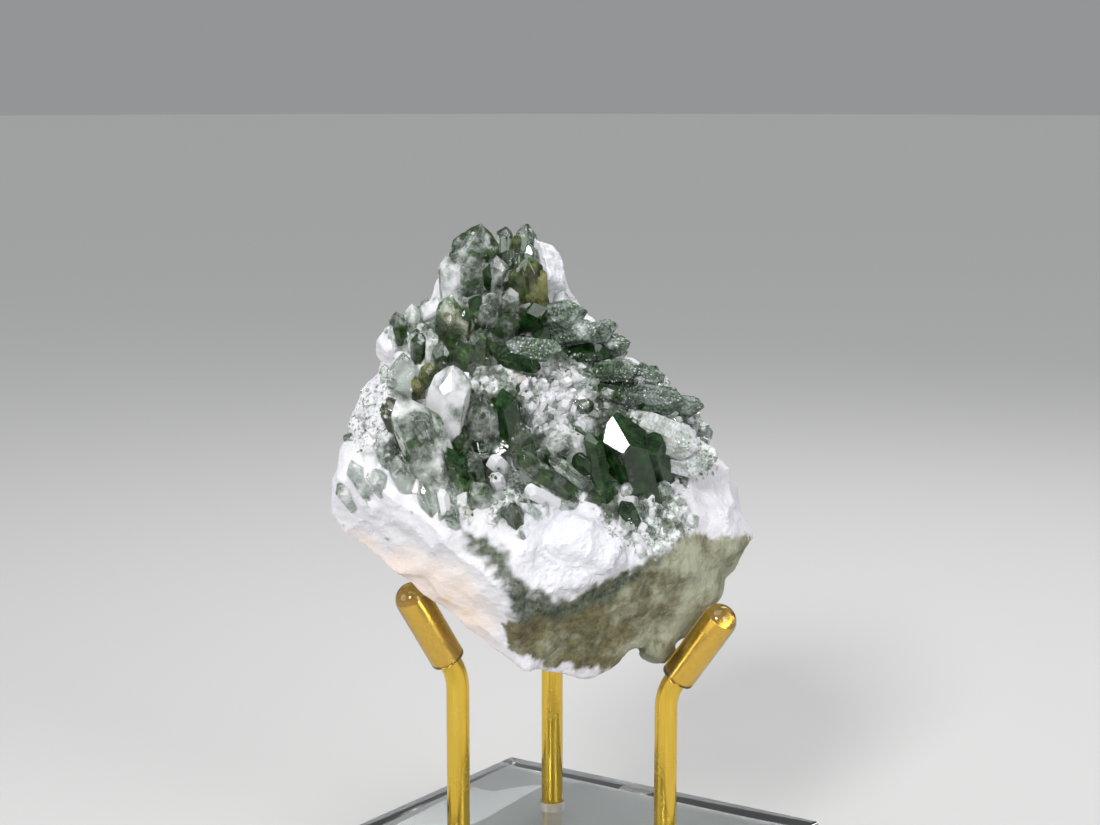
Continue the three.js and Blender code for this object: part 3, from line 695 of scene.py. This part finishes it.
RIGHT_LEDGE = [
    (-1.5, 21.8, 8, 23.6, 1.5, 6.4, 0.85, 10, "coated"),
    (1.6, 19.6, 9.6, 20.8, 2.5, 4.6, 0.9, -20, "coated"),
    (4.5, 19, 13.6, 21, 0.5, 4.4, 0.9, -10, "coated"),
    (7, 16.8, 15.7, 18.7, 0.5, 4.4, 0.85, 14, "coated"), (4.6, 16.4, 12.4, 17, -1, 3.4, 0.9, 0, "dark"),
    (-4, 20.4, 1, 24.2, 3, 4.2, 0.9, 22, "dark"), (-9.4, 20, -8.4, 25.4, 2.5, 3.8, 0.9, 8, "grey"),
    (-7.4, 18, -4.2, 23, 3, 3.8, 0.9, 30, "green"), (-8.6, 17.8, 3.6, 16.4, 3, 4.4, 0.5, -8, "coated"),
    (-7.6, 15.6, 0.2, 13.8, 3.3, 2.8, 0.7, 12, "dark"), (9.4, 13.6, 16.4, 13.4, 5.6, 4, 0.8, 5, "coated"),
    (13.6, 12.8, 21.4, 12.2, 2, 4.6, 0.8, 25, "coated"), (12, 9.6, 24.6, 8, 4.9, 5.4, 0.75, -6, "velvet"),
    (15.4, 8.4, 10.4, 10, 2.7, 2, 0.9, 0, "grey"), (22.6, 7.6, 28.2, 6.8, -1, 4.6, 0.9, 12, "coated"),
    (14.6, 5.2, 26.6, 0.2, 5.5, 6.8, 0.65, 0, "frosted"),
    (18.4, -0.4, 28.6, -3, 2.2, 5.4, 0.7, 12, "frosted"), (17, 5.8, 24.6, 4.4, 3.7, 2.4, 0.8, 30, "grey"),
]
HEART = [
    (16.4, -7.2, 12.9, 6, 2.3, 9.6, 0.9, -10, "deep"), (20.8, -5.6, 18.2, 2.6, 5.6, 5.2, 0.8, 10, "dark"),
    (11, -9, 8.6, 3.2, 0.8, 3.6, 0.8, 8, "dark"), (-9.2, -0.6, -10, 8.8, 2.2, 5.4, 0.9, 5, "grey"),
    (-4.2, -0.4, -6.2, 10.2, 1.9, 4.8, 0.85, -12, "dark"), (-1.6, -5, -4, 4.6, 0.8, 4.8, 0.7, 0, "green"),
    (5.4, -4.4, 3, 4.6, 1.4, 9, 0.45, 0, "haze"), (9, -4.8, 5.8, -0.9, 3, 3.2, 0.8, 0, "dark"),
    (9.4, -7.4, 2, -1.4, 5.3, 2.4, 0.8, 0, "clear"), (7.2, -9.2, -4.6, -0.4, 5, 4, 0.6, 8, "green"),
    (5, -10, -5, -3.6, 3.7, 3, 0.7, 20, "grey"), (-5, -4.6, -8.3, -1.2, 3.7, 3.2, 0.7, 10, "white"),
    (-6.4, -6.4, -7.6, -4, 2.8, 2.6, 0.8, 30, "white"), (2, -8.8, -2.4, -6.4, 3.5, 2.8, 0.8, 0, "white"),
    (-13.2, -5, -14.4, 0.4, 1.9, 4.4, 0.9, 14, "dark"),
    (-10.6, -5.2, -11.4, -0.4, 1.9, 3.6, 0.9, 6, "smoky"),
    (-9.4, -9, -10.4, -5.4, 3.1, 3.6, 0.9, 26, "grey"), (-3.6, -12.4, -5, -9, 2.2, 3.2, 0.9, 40, "green"),
    (15.6, -12.4, 14, -8.8, 2.7, 3.4, 0.9, 10, "dark"), (20, -8.6, 21.6, -5.4, 0, 3.4, 0.9, 0, "grey"),
]
LEFT_FACE = [
    (-15.2, -9.2, -22.2, 9.4, 1.2, 8.6, 0.7, 24, "slate"),
    (-21.5, -1, -25.6, 8.8, -0.6, 4.6, 0.75, 8, "mossy"),
    (-24, -3.6, -26.6, 3.4, -1.2, 4.4, 0.8, 4, "grey"),
    (-21.8, -7, -23.6, -1, 0.4, 4.2, 0.85, 22, "clear"),
    (-27.6, -2.6, -28.6, 3, -1.6, 4, 0.8, 12, "milky"), (-30, 1.6, -31, 6, -3, 3.4, 0.8, 40, "milky"),
    (-29.4, 1.4, -33, 2.6, -2.8, 3.2, 0.7, 0, "grey"),
    (-29, -5.6, -31.4, -1.8, -0.8, 4.2, 0.9, 12, "slate"),
    (-31.4, -8.6, -33.6, -5.6, 1.6, 3.2, 0.9, 4, "slate"),
    (-26.2, -6, -27.6, -3.2, 0.3, 3.4, 1, 20, "slate"),
    (-17.6, -10.2, -19.2, -5, 0.9, 4, 0.85, 50, "grey"), (-14, -12.8, -15, -10, 2.2, 2.4, 1, 0, "clear"),
]

# %% [markdown]
# Quartz seldom grows as one clean prism. Smaller points grow side by side with a large one and
# share its direction, so that the large one's sides look stepped. Green points also keep a dull
# green shape inside them: chlorite dust that settled on an earlier, smaller face of the point.

# %% Standing the named points, with their siblings and their dusty hearts
ROOT_DEPTH = 0.35  # of the width, that a point's root lies under the rock's face
ROOT_SINK = 0.4  # of the width, that a point reaches on beyond its root
SIBLING_SHARE = 2.3  # millimetres of a point's width for each of its siblings
rng = random.Random(11)
points = Crowd()
phantoms = Crowd()
axes = []  # where each named point stands and which way it grows, for its smaller neighbours


def varied(tint, spread=0.25):
    """A tint with a little chance in it."""
    return [min(1, max(0, share + rng.uniform(-spread, spread))) for share in tint[:2]] + [tint[2]]


for number, (x, z, tip_x, tip_z, rise, width, flat, turn, kind) in enumerate(
    PEAK + LEFT_SHOULDER + RIGHT_LEDGE + HEART + LEFT_FACE
):
    root = on_rock(x, z)
    tip = Vector((tip_x, root.y - rise, tip_z))
    root.y += ROOT_DEPTH * width
    along = (tip - root).normalized()
    length = (tip - root).length
    axes.append((root, along))
    root -= along * ROOT_SINK * width
    turn = math.radians(turn)
    pattern = PATTERNS[number % len(PATTERNS)]
    tint = TINTS[kind]
    points.add(pattern, root, tip, width, flat, turn, tint)
    if tint[0] > 0.5:
        shrink = 0.55 + 0.32 * tint[0]
        inner_tip = tip - along * (1 - shrink) * width
        phantoms.add(pattern, root, inner_tip, width * shrink, flat, turn, tint)
    side = along.cross(Vector((0, -1, 0))).normalized()
    front = side.cross(along)
    for _ in range(0 if kind == "deep" else int(width / SIBLING_SHARE)):
        small = width * rng.uniform(0.35, 0.6)
        shift = side * rng.choice((-1, 1)) * (width - small) * rng.uniform(0.3, 0.62)
        shift -= front * width * flat * rng.uniform(-0.1, 0.36)
        low = along * length * rng.uniform(0.12, 0.65)
        points.add(
            PATTERNS[rng.randrange(6)], root + shift - along * 2, tip + shift - low, small,
            rng.uniform(0.7, 1), turn, varied(tint),
        )

# %% [markdown]
# ## Fillers and druse
#
# Between the named points the rock is crowded with lesser ones. They are scattered on a fixed
# random sequence and take their direction from the named points near them, so that the growth
# sweeps over the face as one. The druse, a sugar of points under a millimetre wide, sparkles in
# some areas only. Smooth milky quartz and the crust stay bare.

# %% Scattering the fillers and the druse
CLUMP = [(-3, 12.5), (2, 12.8), (7, 12), (8, 8), (7.4, 3.4), (3, 2.6), (-1, 3), (-2.8, 6)]
SPARKLE = [
    [(-3, 13), (-3, 3), (2, 2), (8, 2.5), (9, 8), (5, 12.5)],
    [(3, 17), (9, 16.5), (20, 13.5), (22, 9), (10, 6), (3, 10)],
    [(-35, 2), (-31, 10), (-27, 13), (-24, 9), (-25, 2), (-29, -1)],
    [(22, 4), (27, 3), (31, -3), (25, -7), (23, -3)],
    [(-9, -3), (-3, -4), (0, -9), (-6, -10)],
    [(9, -10), (16, -12), (20, -17), (14, -19), (11, -14)],
]  # where druse sparkles, in X and Z


def direction_at(place):
    """The way that points grow near a place, from the named points around it."""
    total = Vector()
    for root, along in axes:
        total += along / ((root - place).length_squared + 4) ** 1.5
    return total.normalized()


TOWARDS_VIEWER = -0.15  # a normal's Y below this looks out of the crystal face


def spots_on(tree, count):
    """Random spots on the crystal face, with the surface's normal and the areas' shares there."""
    spots = []
    while len(spots) < count:
        start = Vector((rng.uniform(*FACE_X), IN_FRONT, rng.uniform(*FACE_Z)))
        hit, normal, _, _ = tree.ray_cast(start, INWARDS)
        if hit is not None and normal.y < TOWARDS_VIEWER:
            spots.append((hit, normal))
    places = np.array([hit for hit, _ in spots])
    shares = area_shares(places)
    sparkle = np.max([depth_inside(places[:, 0], places[:, 2], area) for area in SPARKLE], axis=0)
    shares["sparkle"] = smooth_step(sparkle, -1, 1.5)
    shares["clump"] = smooth_step(depth_inside(places[:, 0], places[:, 2], CLUMP), -0.5, 0.5)
    shares["band"] = smooth_step(depth_inside(places[:, 0], places[:, 2], BAND), -1, 0.5)
    by_spot = [dict(zip(shares, values)) for values in zip(*shares.values())]
    return [(hit, normal, share) for (hit, normal), share in zip(spots, by_spot)]


CELL = 4  # millimetres, of the grid that finds a spot's neighbours
STRAY = 0.28  # how far a small point's direction strays
APART = 0.5  # of a small point's width, to the nearest one


def scatter(name, tree, tries, widths, heights, chance, tint_at, follow):
    """Small points on a surface; follow is how far they take the named points' direction."""
    crowd = Crowd()
    taken = {}
    for hit, normal, share in spots_on(tree, tries):
        if rng.random() > chance(share):
            continue
        width = rng.triangular(*widths) * (1 - 0.45 * share["grey"])
        i, j = round(hit.x / CELL), round(hit.z / CELL)
        cells = [(i + across, j + up) for across in (-1, 0, 1) for up in (-1, 0, 1)]
        near = [spot for cell in cells for spot in taken.get(cell, [])]
        if any((spot - hit).length < APART * width for spot in near):
            continue
        taken.setdefault((i, j), []).append(hit)
        stray = Vector([rng.gauss(0, STRAY) for _ in range(3)])
        along = (direction_at(hit) * follow + normal * (1 - follow) + stray).normalized()
        root = hit - along * 1.2 * width
        tip = hit + along * width * rng.uniform(*heights)
        crowd.add(
            (PATTERNS if width > 1.5 else DRUSE_PATTERNS)[rng.randrange(6)], root, tip, width,
            rng.uniform(0.7, 1), rng.uniform(0, math.pi), tint_at(share),
        )
    return crowd.piece(name)


def picked(*kinds):
    """A varied tint of one of these kinds."""
    return varied(TINTS[rng.choice(kinds)])


def filler_chance(share):
    bare = max(share["pink"], share["crust"], share["sugar"], share["band"])
    return (1 - bare) * max(share["green"], share["grey"])


def filler_tint(share):
    if share["green"] > 0.5:
        return picked("dark", "green", "green", "grey", "smoky")
    if share["grey"] > 0.5:
        return picked("grey", "grey", "clear", "milky", "white")
    return picked("white", "white", "milky")


def clump_tint(share):
    return picked("white", "white", "milky", "milky", "clear")


def druse_chance(share):
    bare = share["pink"] + share["crust"] + share["sugar"] + share["band"]
    return max(0, 1 - bare) * (0.006 + 0.994 * share["sparkle"])


def druse_tint(share):
    if max(share["green"], share["grey"]) > 0.5:
        return picked("clear", "clear", "grey", "grey", "milky")
    return picked("white", "milky", "clear", "grey")


clump = scatter(
    "white_druse", rock_tree, tries=9000, widths=(1, 3.4, 1.7), heights=(0.5, 1.3),
    chance=lambda share: share["clump"], tint_at=clump_tint, follow=0.5,
)
points = points.piece("quartz_points")
phantoms = phantoms.piece("chlorite_phantoms")
fillers = scatter(
    "quartz_fillers", rock_tree, tries=3500, widths=(2, 6.5, 3.4), heights=(0.15, 0.55),
    chance=filler_chance, tint_at=filler_tint, follow=0.6,
)
covered = BVHTree.FromPolygons(
    [Vector(p) for piece in (rock, points) for p in places_of(piece)],
    [
        tuple(i + first for i in face.vertices)
        for first, piece in ((0, rock), (len(rock.data.vertices), points))
        for face in piece.data.polygons
    ],
)
druse = scatter(
    "quartz_druse", covered, tries=16000, widths=(0.3, 1, 0.45), heights=(0.1, 0.6),
    chance=druse_chance, tint_at=druse_tint, follow=0.3,
)


# %% [markdown]
# ## The specimen's materials
#
# Chlorite quartz is two minerals: quartz, glassy and clear with an IOR of 1.544, and chlorite,
# a soft dark green mineral that fills it as a dust. One material serves all the points. It is a
# plain glass whose transmission falls and whose colour darkens where a point's own attribute and
# a mottling a few millimetres across say that chlorite or milkiness lies. A sugar coat lets less
# light through, whatever lies below it, and adds a grainy bump. The rock under the points is dark
# green too, as chlorite and partly as painted shade, and shows through the clear ones.

# %% Quartz points
QUARTZ_IOR = 1.544


def quartz_material():
    """Quartz with chlorite dust: clear, milky and green by turns, with fine lines on its sides."""
    material, tree, shader = new_material("chlorite_quartz")
    place = millimetres(tree)
    own = node(tree, "ShaderNodeAttribute", {"attribute_name": "crystal"}).outputs["Vector"]
    kept = node(tree, "ShaderNodeAttribute", {"attribute_name": "growth"})
    growth = node(tree, "ShaderNodeSeparateColor", None, Color=kept.outputs["Color"])
    chlorite, milk, warm = growth.outputs[0], growth.outputs[1], growth.outputs[2]

    # where chlorite dust lies, and where the quartz is clouded or cracked
    mottle = times(tree, grain(tree, place, 4.5, 4, 0.56), 0.7)
    dusty = ramp(tree, plus(tree, times(tree, chlorite, 0.36), mottle), 0.49, 0.81)
    veil = plus(tree, times(tree, milk, 0.45), grain(tree, own, 4, 4, 0.56))
    crack = absolute(tree, minus(tree, grain(tree, place, 4, 3, 0.6), 0.5))
    crack = times(tree, ramp(tree, crack, 0.0, 0.02, 0.35, 0.0), ramp(tree, milk, 0.0, 0.25))
    clouded = larger(tree, ramp(tree, veil, 0.6, 0.9), crack)

    # the colours of the dust and of the quartz
    flecks = ramp(tree, grain(tree, place, 1.2, 6, 0.75), 0.35, 0.68)
    green = blend_colours(tree, flecks, "#25401E", "#647E54")
    deep = blend_colours(tree, flecks, "#0A1E09", "#2C5026")
    green = blend_colours(tree, ramp(tree, chlorite, 0.7, 1.0), green, deep)
    stain = times(tree, ramp(tree, grain(tree, place, 7, 4), 0.55, 0.75), 0.7)
    pale = blend_colours(tree, clouded, "#E4F0E4", blend_colours(tree, stain, "#EAEAEE", "#DCCFB6"))
    pale = blend_colours(tree, ramp(tree, warm, 0.0, 1.0), pale, "#8E9058")
    body = blend_colours(tree, ramp(tree, dusty, 0.0, 0.3), pale, green)

    # the sugar coat, where the third value is below 0
    coat = ramp(tree, times(tree, warm, -1), 0.0, 1.0, 0.0, 0.8)
    grit = ramp(tree, grain(tree, place, 0.9, 5, 0.7), 0.35, 0.65)
    sugar = blend_colours(tree, grit, "#222E26", "#707D78")
    sugar = blend_colours(tree, ramp(tree, milk, 0.5, 1.0), sugar, "#C8D0D4")
    streaks = grain(tree, stretched(tree, own, 0.9, 0.9, 0.12), 1, 3)
    sugar = blend_colours(tree, times(tree, ramp(tree, streaks, 0.5, 0.62), 0.5), sugar, "#D6DCE0")
    sugar = blend_colours(tree, times(tree, dusty, 0.6), sugar, green)

    clear = minus(tree, 0.98, times(tree, clouded, 0.68))
    clear = times(tree, clear, minus(tree, 1.0, coat))
    clear = times(tree, clear, minus(tree, 1.0, times(tree, dusty, 0.75)))
    blur = plus(tree, times(tree, clouded, 0.1), times(tree, coat, 0.3))

    # growth lines across the sides, below the tip's pyramid, and the grain of the coat
    axis = node(tree, "ShaderNodeSeparateXYZ", None, Vector=own).outputs[2]
    on_side = minus(tree, times(tree, axis, -1), times(tree, kept.outputs["Alpha"], 8))
    lines = grain(tree, stretched(tree, own, 0.15, 0.15, 2.6), 1, 2)
    relief = times(tree, ramp(tree, on_side, -0.2, 0.2), lines)
    relief = plus(tree, relief, times(tree, grain(tree, place, 2.5, 2), 0.25))
    pitted = times(tree, clouded, grain(tree, place, 0.7, 5, 0.7))
    relief = plus(tree, relief, times(tree, pitted, 1.2))
    sides = bump(tree, 0.15, 0.0003, relief)
    grains = node(tree, "ShaderNodeTexVoronoi", None, Vector=place, Scale=1.6).outputs["Distance"]
    wire(
        tree, shader, Base_Color=blend_colours(tree, coat, body, sugar), Roughness=plus(tree, 0.02, blur),
        Transmission_Weight=clear, IOR=QUARTZ_IOR, Normal=bump(tree, coat, 0.0004, grains, Normal=sides),
    )
    return material


# %% Chlorite inside the points
def phantom_material():
    """Chlorite dust on an earlier face of the crystal, seen through the quartz that grew over it."""
    material, tree, shader = new_material("chlorite_dust")
    place = millimetres(tree)
    colour = blend_colours(tree, grain(tree, place, 0.6, 5, 0.7), "#081A08", "#25441F")
    patches = ramp(tree, grain(tree, place, 2.4, 3), 0.52, 0.7)
    wire(
        tree, shader, Base_Color=blend_colours(tree, patches, colour, "#3B5B32"), Roughness=0.85,
        Normal=bump(tree, 0.7, 0.0004, grain(tree, place, 0.45, 4)),
    )
    return material


# %% Milky quartz and the crust
def rock_material():
    """Broken milky quartz, whose chlorite, iron stain and crust follow the area attributes; the dark
    green between the points is partly painted shade.
    """
    material, tree, shader = new_material("milky_quartz_and_chlorite")
    place = millimetres(tree)

    def grained(size, detail, roughness, low, high, dark, pale):
        """Two colours, parted by noise that is stretched between low and high."""
        share = ramp(tree, grain(tree, place, size, detail, roughness), low, high)
        return blend_colours(tree, share, dark, pale)

    milk = blend_colours(tree, grain(tree, place, 3, 5), "#C0BFC5", "#DEDDE1")
    specks = ramp(tree, grain(tree, place, 1.1, 6, 0.8), 0.6, 0.68)
    milk = blend_colours(tree, times(tree, specks, 0.3), milk, "#5F6C58")
    blush = blend_colours(tree, grain(tree, place, 6, 4), "#E6DCD6", "#D4C3B8")
    blush = grained(11, 2, 0.55, 0.58, 0.72, blush, "#DDBF92")
    # the dark green of the green areas: chlorite's colour, partly darkened as painted shade between the
    # points
    dark = grained(1.3, 6, 0.75, 0.35, 0.7, "#20291E", "#646C5A")
    grey = grained(1.6, 6, 0.8, 0.38, 0.6, "#3A4A38", "#D6D9D8")
    olive = grained(1.8, 6, 0.75, 0.3, 0.7, "#423D27", "#6F6948")
    rust = times(tree, ramp(tree, grain(tree, place, 1.4, 3), 0.62, 0.72), 0.5)
    olive = blend_colours(tree, rust, olive, "#80603A")
    to_right = ramp(tree, node(tree, "ShaderNodeSeparateXYZ", None, Vector=place).outputs[0], 0, 26)
    patches = plus(tree, times(tree, to_right, 0.22), grain(tree, place, 6, 6, 0.7))
    olive = blend_colours(tree, ramp(tree, patches, 0.5, 0.8), olive, "#999B86")

    area = {n: node(tree, "ShaderNodeAttribute", {"attribute_name": n}).outputs["Fac"] for n in AREAS}
    # each area's colour; the green area's dark green is partly painted shade
    area_colours_and_shade = {"pink": blush, "crust": olive, "grey": grey, "green": dark, "sugar": "#C9C9CF"}
    colour = milk
    for name, finish in area_colours_and_shade.items():
        colour = blend_colours(tree, area[name], colour, finish)
    height = plus(tree, grain(tree, place, 0.5, 5, 0.7), grain(tree, place, 1.8, 3))
    wire(
        tree, shader, Base_Color=colour, Roughness=plus(tree, 0.4, times(tree, area["crust"], 0.4)),
        Normal=bump(tree, 0.5, 0.0003, height), Subsurface_Weight=0.2,
        Subsurface_Radius=(0.0016, 0.0014, 0.0014), Subsurface_Scale=1,
    )
    return material


quartz = quartz_material()
for crowd_piece in (points, fillers, clump, druse):
    crowd_piece.data.materials.append(quartz)
phantoms.data.materials.append(phantom_material())
rock.data.materials.append(rock_material())

# %% [markdown]
# ## The stand
#
# The rods are taken as 4 mm brass, bent over a round former, and each wears a soft clear cap. The
# cap grips the rod with no air between them, so it acts as a lens: the brass seems to fill it. The
# plate is clear sheet with polished edges, and its drilled sockets look white where the drill left
# their walls rough.

# %% Sizes of the stand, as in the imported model
BASE_SIDE = 70
BASE_HEIGHT = 10
BASE_TURN = math.radians(45 + 11)
ROD_RADIUS = 2
ROD_RING = 21
SOCKET_DEPTH = 6
SOCKET_GAP = 0.3
BEND_RADIUS = 9
CAP_RADIUS = 3.05
CAP_LENGTH = 16.4
CAP_BORE = 14
CAP_START = 3.6
ARMS = {
    "left": (213.5, 33.8, 31),
    "right": (333.5, 30, 35),
    "back": (93, 32, 33),
}


def arm_matrix(around):
    """From the plane of an arm's bend, X outwards and Z up from the plate, to the part's frame."""
    angle = math.radians(around)
    foot = Vector((ROD_RING * math.cos(angle), ROD_RING * math.sin(angle), BASE_HEIGHT))
    return Matrix.Translation(foot) @ Matrix.Rotation(angle, 4, "Z")


# %% Bending the rods
def rod(name, around, bend, tilt):
    """A round bar: extruded up from its foot, spun round the former, and extruded along the arm."""
    tilt = math.radians(tilt)
    reach = BEND_RADIUS * math.tan(tilt / 2)
    piece = added(
        bpy.ops.mesh.primitive_circle_add,
        vertices=40, radius=ROD_RADIUS, location=(0, 0, SOCKET_GAP - SOCKET_DEPTH), fill_type="NGON",
    )
    bpy.ops.object.transform_apply()
    bpy.ops.object.mode_set(mode="EDIT")
    bpy.ops.mesh.select_all(action="SELECT")
    up = bend - reach - SOCKET_GAP + SOCKET_DEPTH
    bpy.ops.mesh.extrude_region_move(TRANSFORM_OT_translate={"value": (0, 0, up)})
    bpy.ops.mesh.spin(
        steps=16, angle=-tilt, center=(BEND_RADIUS, 0, bend - reach), axis=(0, 1, 0)
    )
    rest = CAP_START + CAP_BORE - SOCKET_GAP - reach
    along = (rest * math.sin(tilt), 0, rest * math.cos(tilt))
    bpy.ops.mesh.extrude_region_move(TRANSFORM_OT_translate={"value": along})
    weld()
    piece.name = name
    apply_modifier(
        piece, "BEVEL", width=0.25, segments=2, limit_method="ANGLE", angle_limit=math.radians(60)
    )
    set_places(piece, moved(places_of(piece), arm_matrix(around)))
    bpy.ops.object.shade_smooth_by_angle(angle=math.radians(40))
    return piece


# %% Turning the caps
def cap(name, around, bend, tilt):
    """A soft cap: half of its section is drawn and spun once round its axis."""
    tilt = math.radians(tilt)
    lip = 0.35
    section = [(0, 0), (CAP_RADIUS - lip, 0)]
    section += [
        (CAP_RADIUS - lip + lip * math.sin(t), lip - lip * math.cos(t))
        for t in np.linspace(0.4, math.pi / 2, 4)
    ]
    section += [
        (CAP_RADIUS * math.cos(t), CAP_LENGTH - CAP_RADIUS + CAP_RADIUS * math.sin(t))
        for t in np.linspace(0, math.pi / 2, 14)
    ]
    mesh = bpy.data.meshes.new(name)
    mesh.from_pydata(
        [(x, 0, z) for x, z in section], [(i, i + 1) for i in range(len(section) - 1)], []
    )
    piece = bpy.data.objects.new(name, mesh)
    bpy.context.scene.collection.objects.link(piece)
    select_only(piece)
    bpy.ops.object.mode_set(mode="EDIT")
    bpy.ops.mesh.select_all(action="SELECT")
    bpy.ops.mesh.spin(steps=48, angle=2 * math.pi, center=(0, 0, 0), axis=(0, 0, 1))
    weld()
    start = Vector((CAP_START * math.sin(tilt), 0, bend + CAP_START * math.cos(tilt)))
    stand = arm_matrix(around) @ Matrix.Translation(start) @ Matrix.Rotation(tilt, 4, "Y")
    set_places(piece, moved(places_of(piece), stand))
    bpy.ops.object.shade_smooth_by_angle(angle=math.radians(50))
    return piece


# %% Cutting and drilling the plate
def base_plate():
    """A sawn square of clear sheet with eased edges and three drilled sockets."""
    piece = added(bpy.ops.mesh.primitive_cube_add, size=1, location=(0, 0, BASE_HEIGHT / 2))
    piece.name = "clear_plate"
    piece.scale = (BASE_SIDE, BASE_SIDE, BASE_HEIGHT)
    piece.rotation_euler.z = BASE_TURN
    bpy.ops.object.transform_apply()
    apply_modifier(piece, "BEVEL", width=0.8, segments=3)
    for around, _, _ in ARMS.values():
        foot = arm_matrix(around).translation
        drill = added(
            bpy.ops.mesh.primitive_cylinder_add,
            vertices=48, radius=ROD_RADIUS + SOCKET_GAP, depth=2 * SOCKET_DEPTH, location=foot,
        )
        apply_modifier(piece, "BOOLEAN", object=drill, operation="DIFFERENCE", solver="EXACT")
        bpy.data.objects.remove(drill)
    bpy.ops.object.shade_smooth_by_angle(angle=math.radians(30))
    return piece


rods = {side: rod(f"brass_rod_{side}", *arm) for side, arm in ARMS.items()}
caps = {side: cap(f"vinyl_cap_{side}", *arm) for side, arm in ARMS.items()}
plate = base_plate()


# %% The stand's materials
def brass_material():
    """Bright drawn brass under clear lacquer: fine streaks along the bar blur its highlights."""
    material, tree, shader = new_material("lacquered_brass")
    place = millimetres(tree)
    streak = grain(tree, stretched(tree, place, 3, 3, 0.12), 1, 3)
    wire(
        tree, shader, Base_Color=blend_colours(tree, streak, "#D9AC34", "#F0D060"), Metallic=1,
        Roughness=ramp(tree, grain(tree, place, 5, 4), 0.3, 0.7, 0.16, 0.3),
        Normal=bump(tree, 0.04, 0.0001, streak),
    )
    return material


def vinyl_material():
    """Clear soft vinyl, IOR 1.53, with the faint haze and waviness of a dipped cap."""
    material, tree, shader = new_material("clear_vinyl")
    place = millimetres(tree)
    wire(
        tree, shader, Base_Color=linear("#F6EDCF"), Transmission_Weight=1, IOR=1.53,
        Roughness=ramp(tree, grain(tree, place, 2, 3), 0.3, 0.7, 0.04, 0.12),
        Normal=bump(tree, 0.15, 0.0002, grain(tree, place, 1.5, 2)),
    )
    return material


def acrylic_material():
    """Clear acrylic, IOR 1.49, with faint wiping marks."""
    material, tree, shader = new_material("clear_acrylic")
    wipes = ramp(tree, grain(tree, millimetres(tree), 8, 5), 0.45, 0.75, 0.0, 0.06)
    wire(
        tree, shader, Base_Color=linear("#F6FAFA"), Transmission_Weight=1, IOR=1.49, Roughness=wipes
    )
    return material


def frosted_material():
    """The drilled wall of a socket: the same acrylic, ground to a white haze by the drill."""
    material, tree, shader = new_material("drilled_acrylic")
    rings = grain(tree, stretched(tree, millimetres(tree), 0.2, 0.2, 4), 1, 2)
    wire(
        tree, shader, Base_Color=blend_colours(tree, rings, "#D8D6CF", "#F4F2EC"), Roughness=0.7,
        Transmission_Weight=0.35, IOR=1.49,
    )
    return material


brass = brass_material()
vinyl = vinyl_material()
for piece in rods.values():
    piece.data.materials.append(brass)
for piece in caps.values():
    piece.data.materials.append(vinyl)
plate.data.materials.append(acrylic_material())
plate.data.materials.append(frosted_material())
for face in plate.data.polygons:
    near = min((face.center - arm_matrix(a[0]).translation).xy.length for a in ARMS.values())
    if near < ROD_RADIUS + SOCKET_GAP + 0.05 and face.center.z < BASE_HEIGHT - 0.1:
        face.material_index = 1

# %% [markdown]
# ## Floor
#
# A plain pale floor, wide enough to show no edge from any side.

# %% The floor
floor = added(
    bpy.ops.mesh.primitive_circle_add,
    vertices=96, radius=6, fill_type="NGON", location=(0, 0, -0.3 * MM),
)
floor.name = "floor"
floor_material, floor_tree, floor_shader = new_material("pale_floor")
wire(floor_tree, floor_shader, Base_Color=linear("#C3C3C2"), Roughness=0.75)
floor.data.materials.append(floor_material)

# %% [markdown]
# ## Putting it together
#
# The specimen's pieces are moved to the part's frame and everything to metres. Each piece then
# rides on the part's one body and stands for its node.

# %% Riding and replacing
SPECIMEN = [rock, points, phantoms, fillers, clump, druse]
for piece in SPECIMEN:
    set_places(piece, moved(places_of(piece), Matrix.Scale(MM, 4) @ TO_PART))
    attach(piece, "root")
    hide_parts("quartz_cluster")
for pieces, node_name, slot in ((rods, "rod", "brass"), (caps, "cap", "vinyl")):
    for side, piece in pieces.items():
        set_places(piece, places_of(piece) * MM)
        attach(piece, "root")
        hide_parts(f"{node_name}_{side}")
set_places(plate, places_of(plate) * MM)
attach(plate, "root")
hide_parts("stand_base")

for piece in [*SPECIMEN, *rods.values(), *caps.values(), plate]:
    piece.data.calc_loop_triangles()
    print(piece.name, len(piece.data.loop_triangles), "triangles")
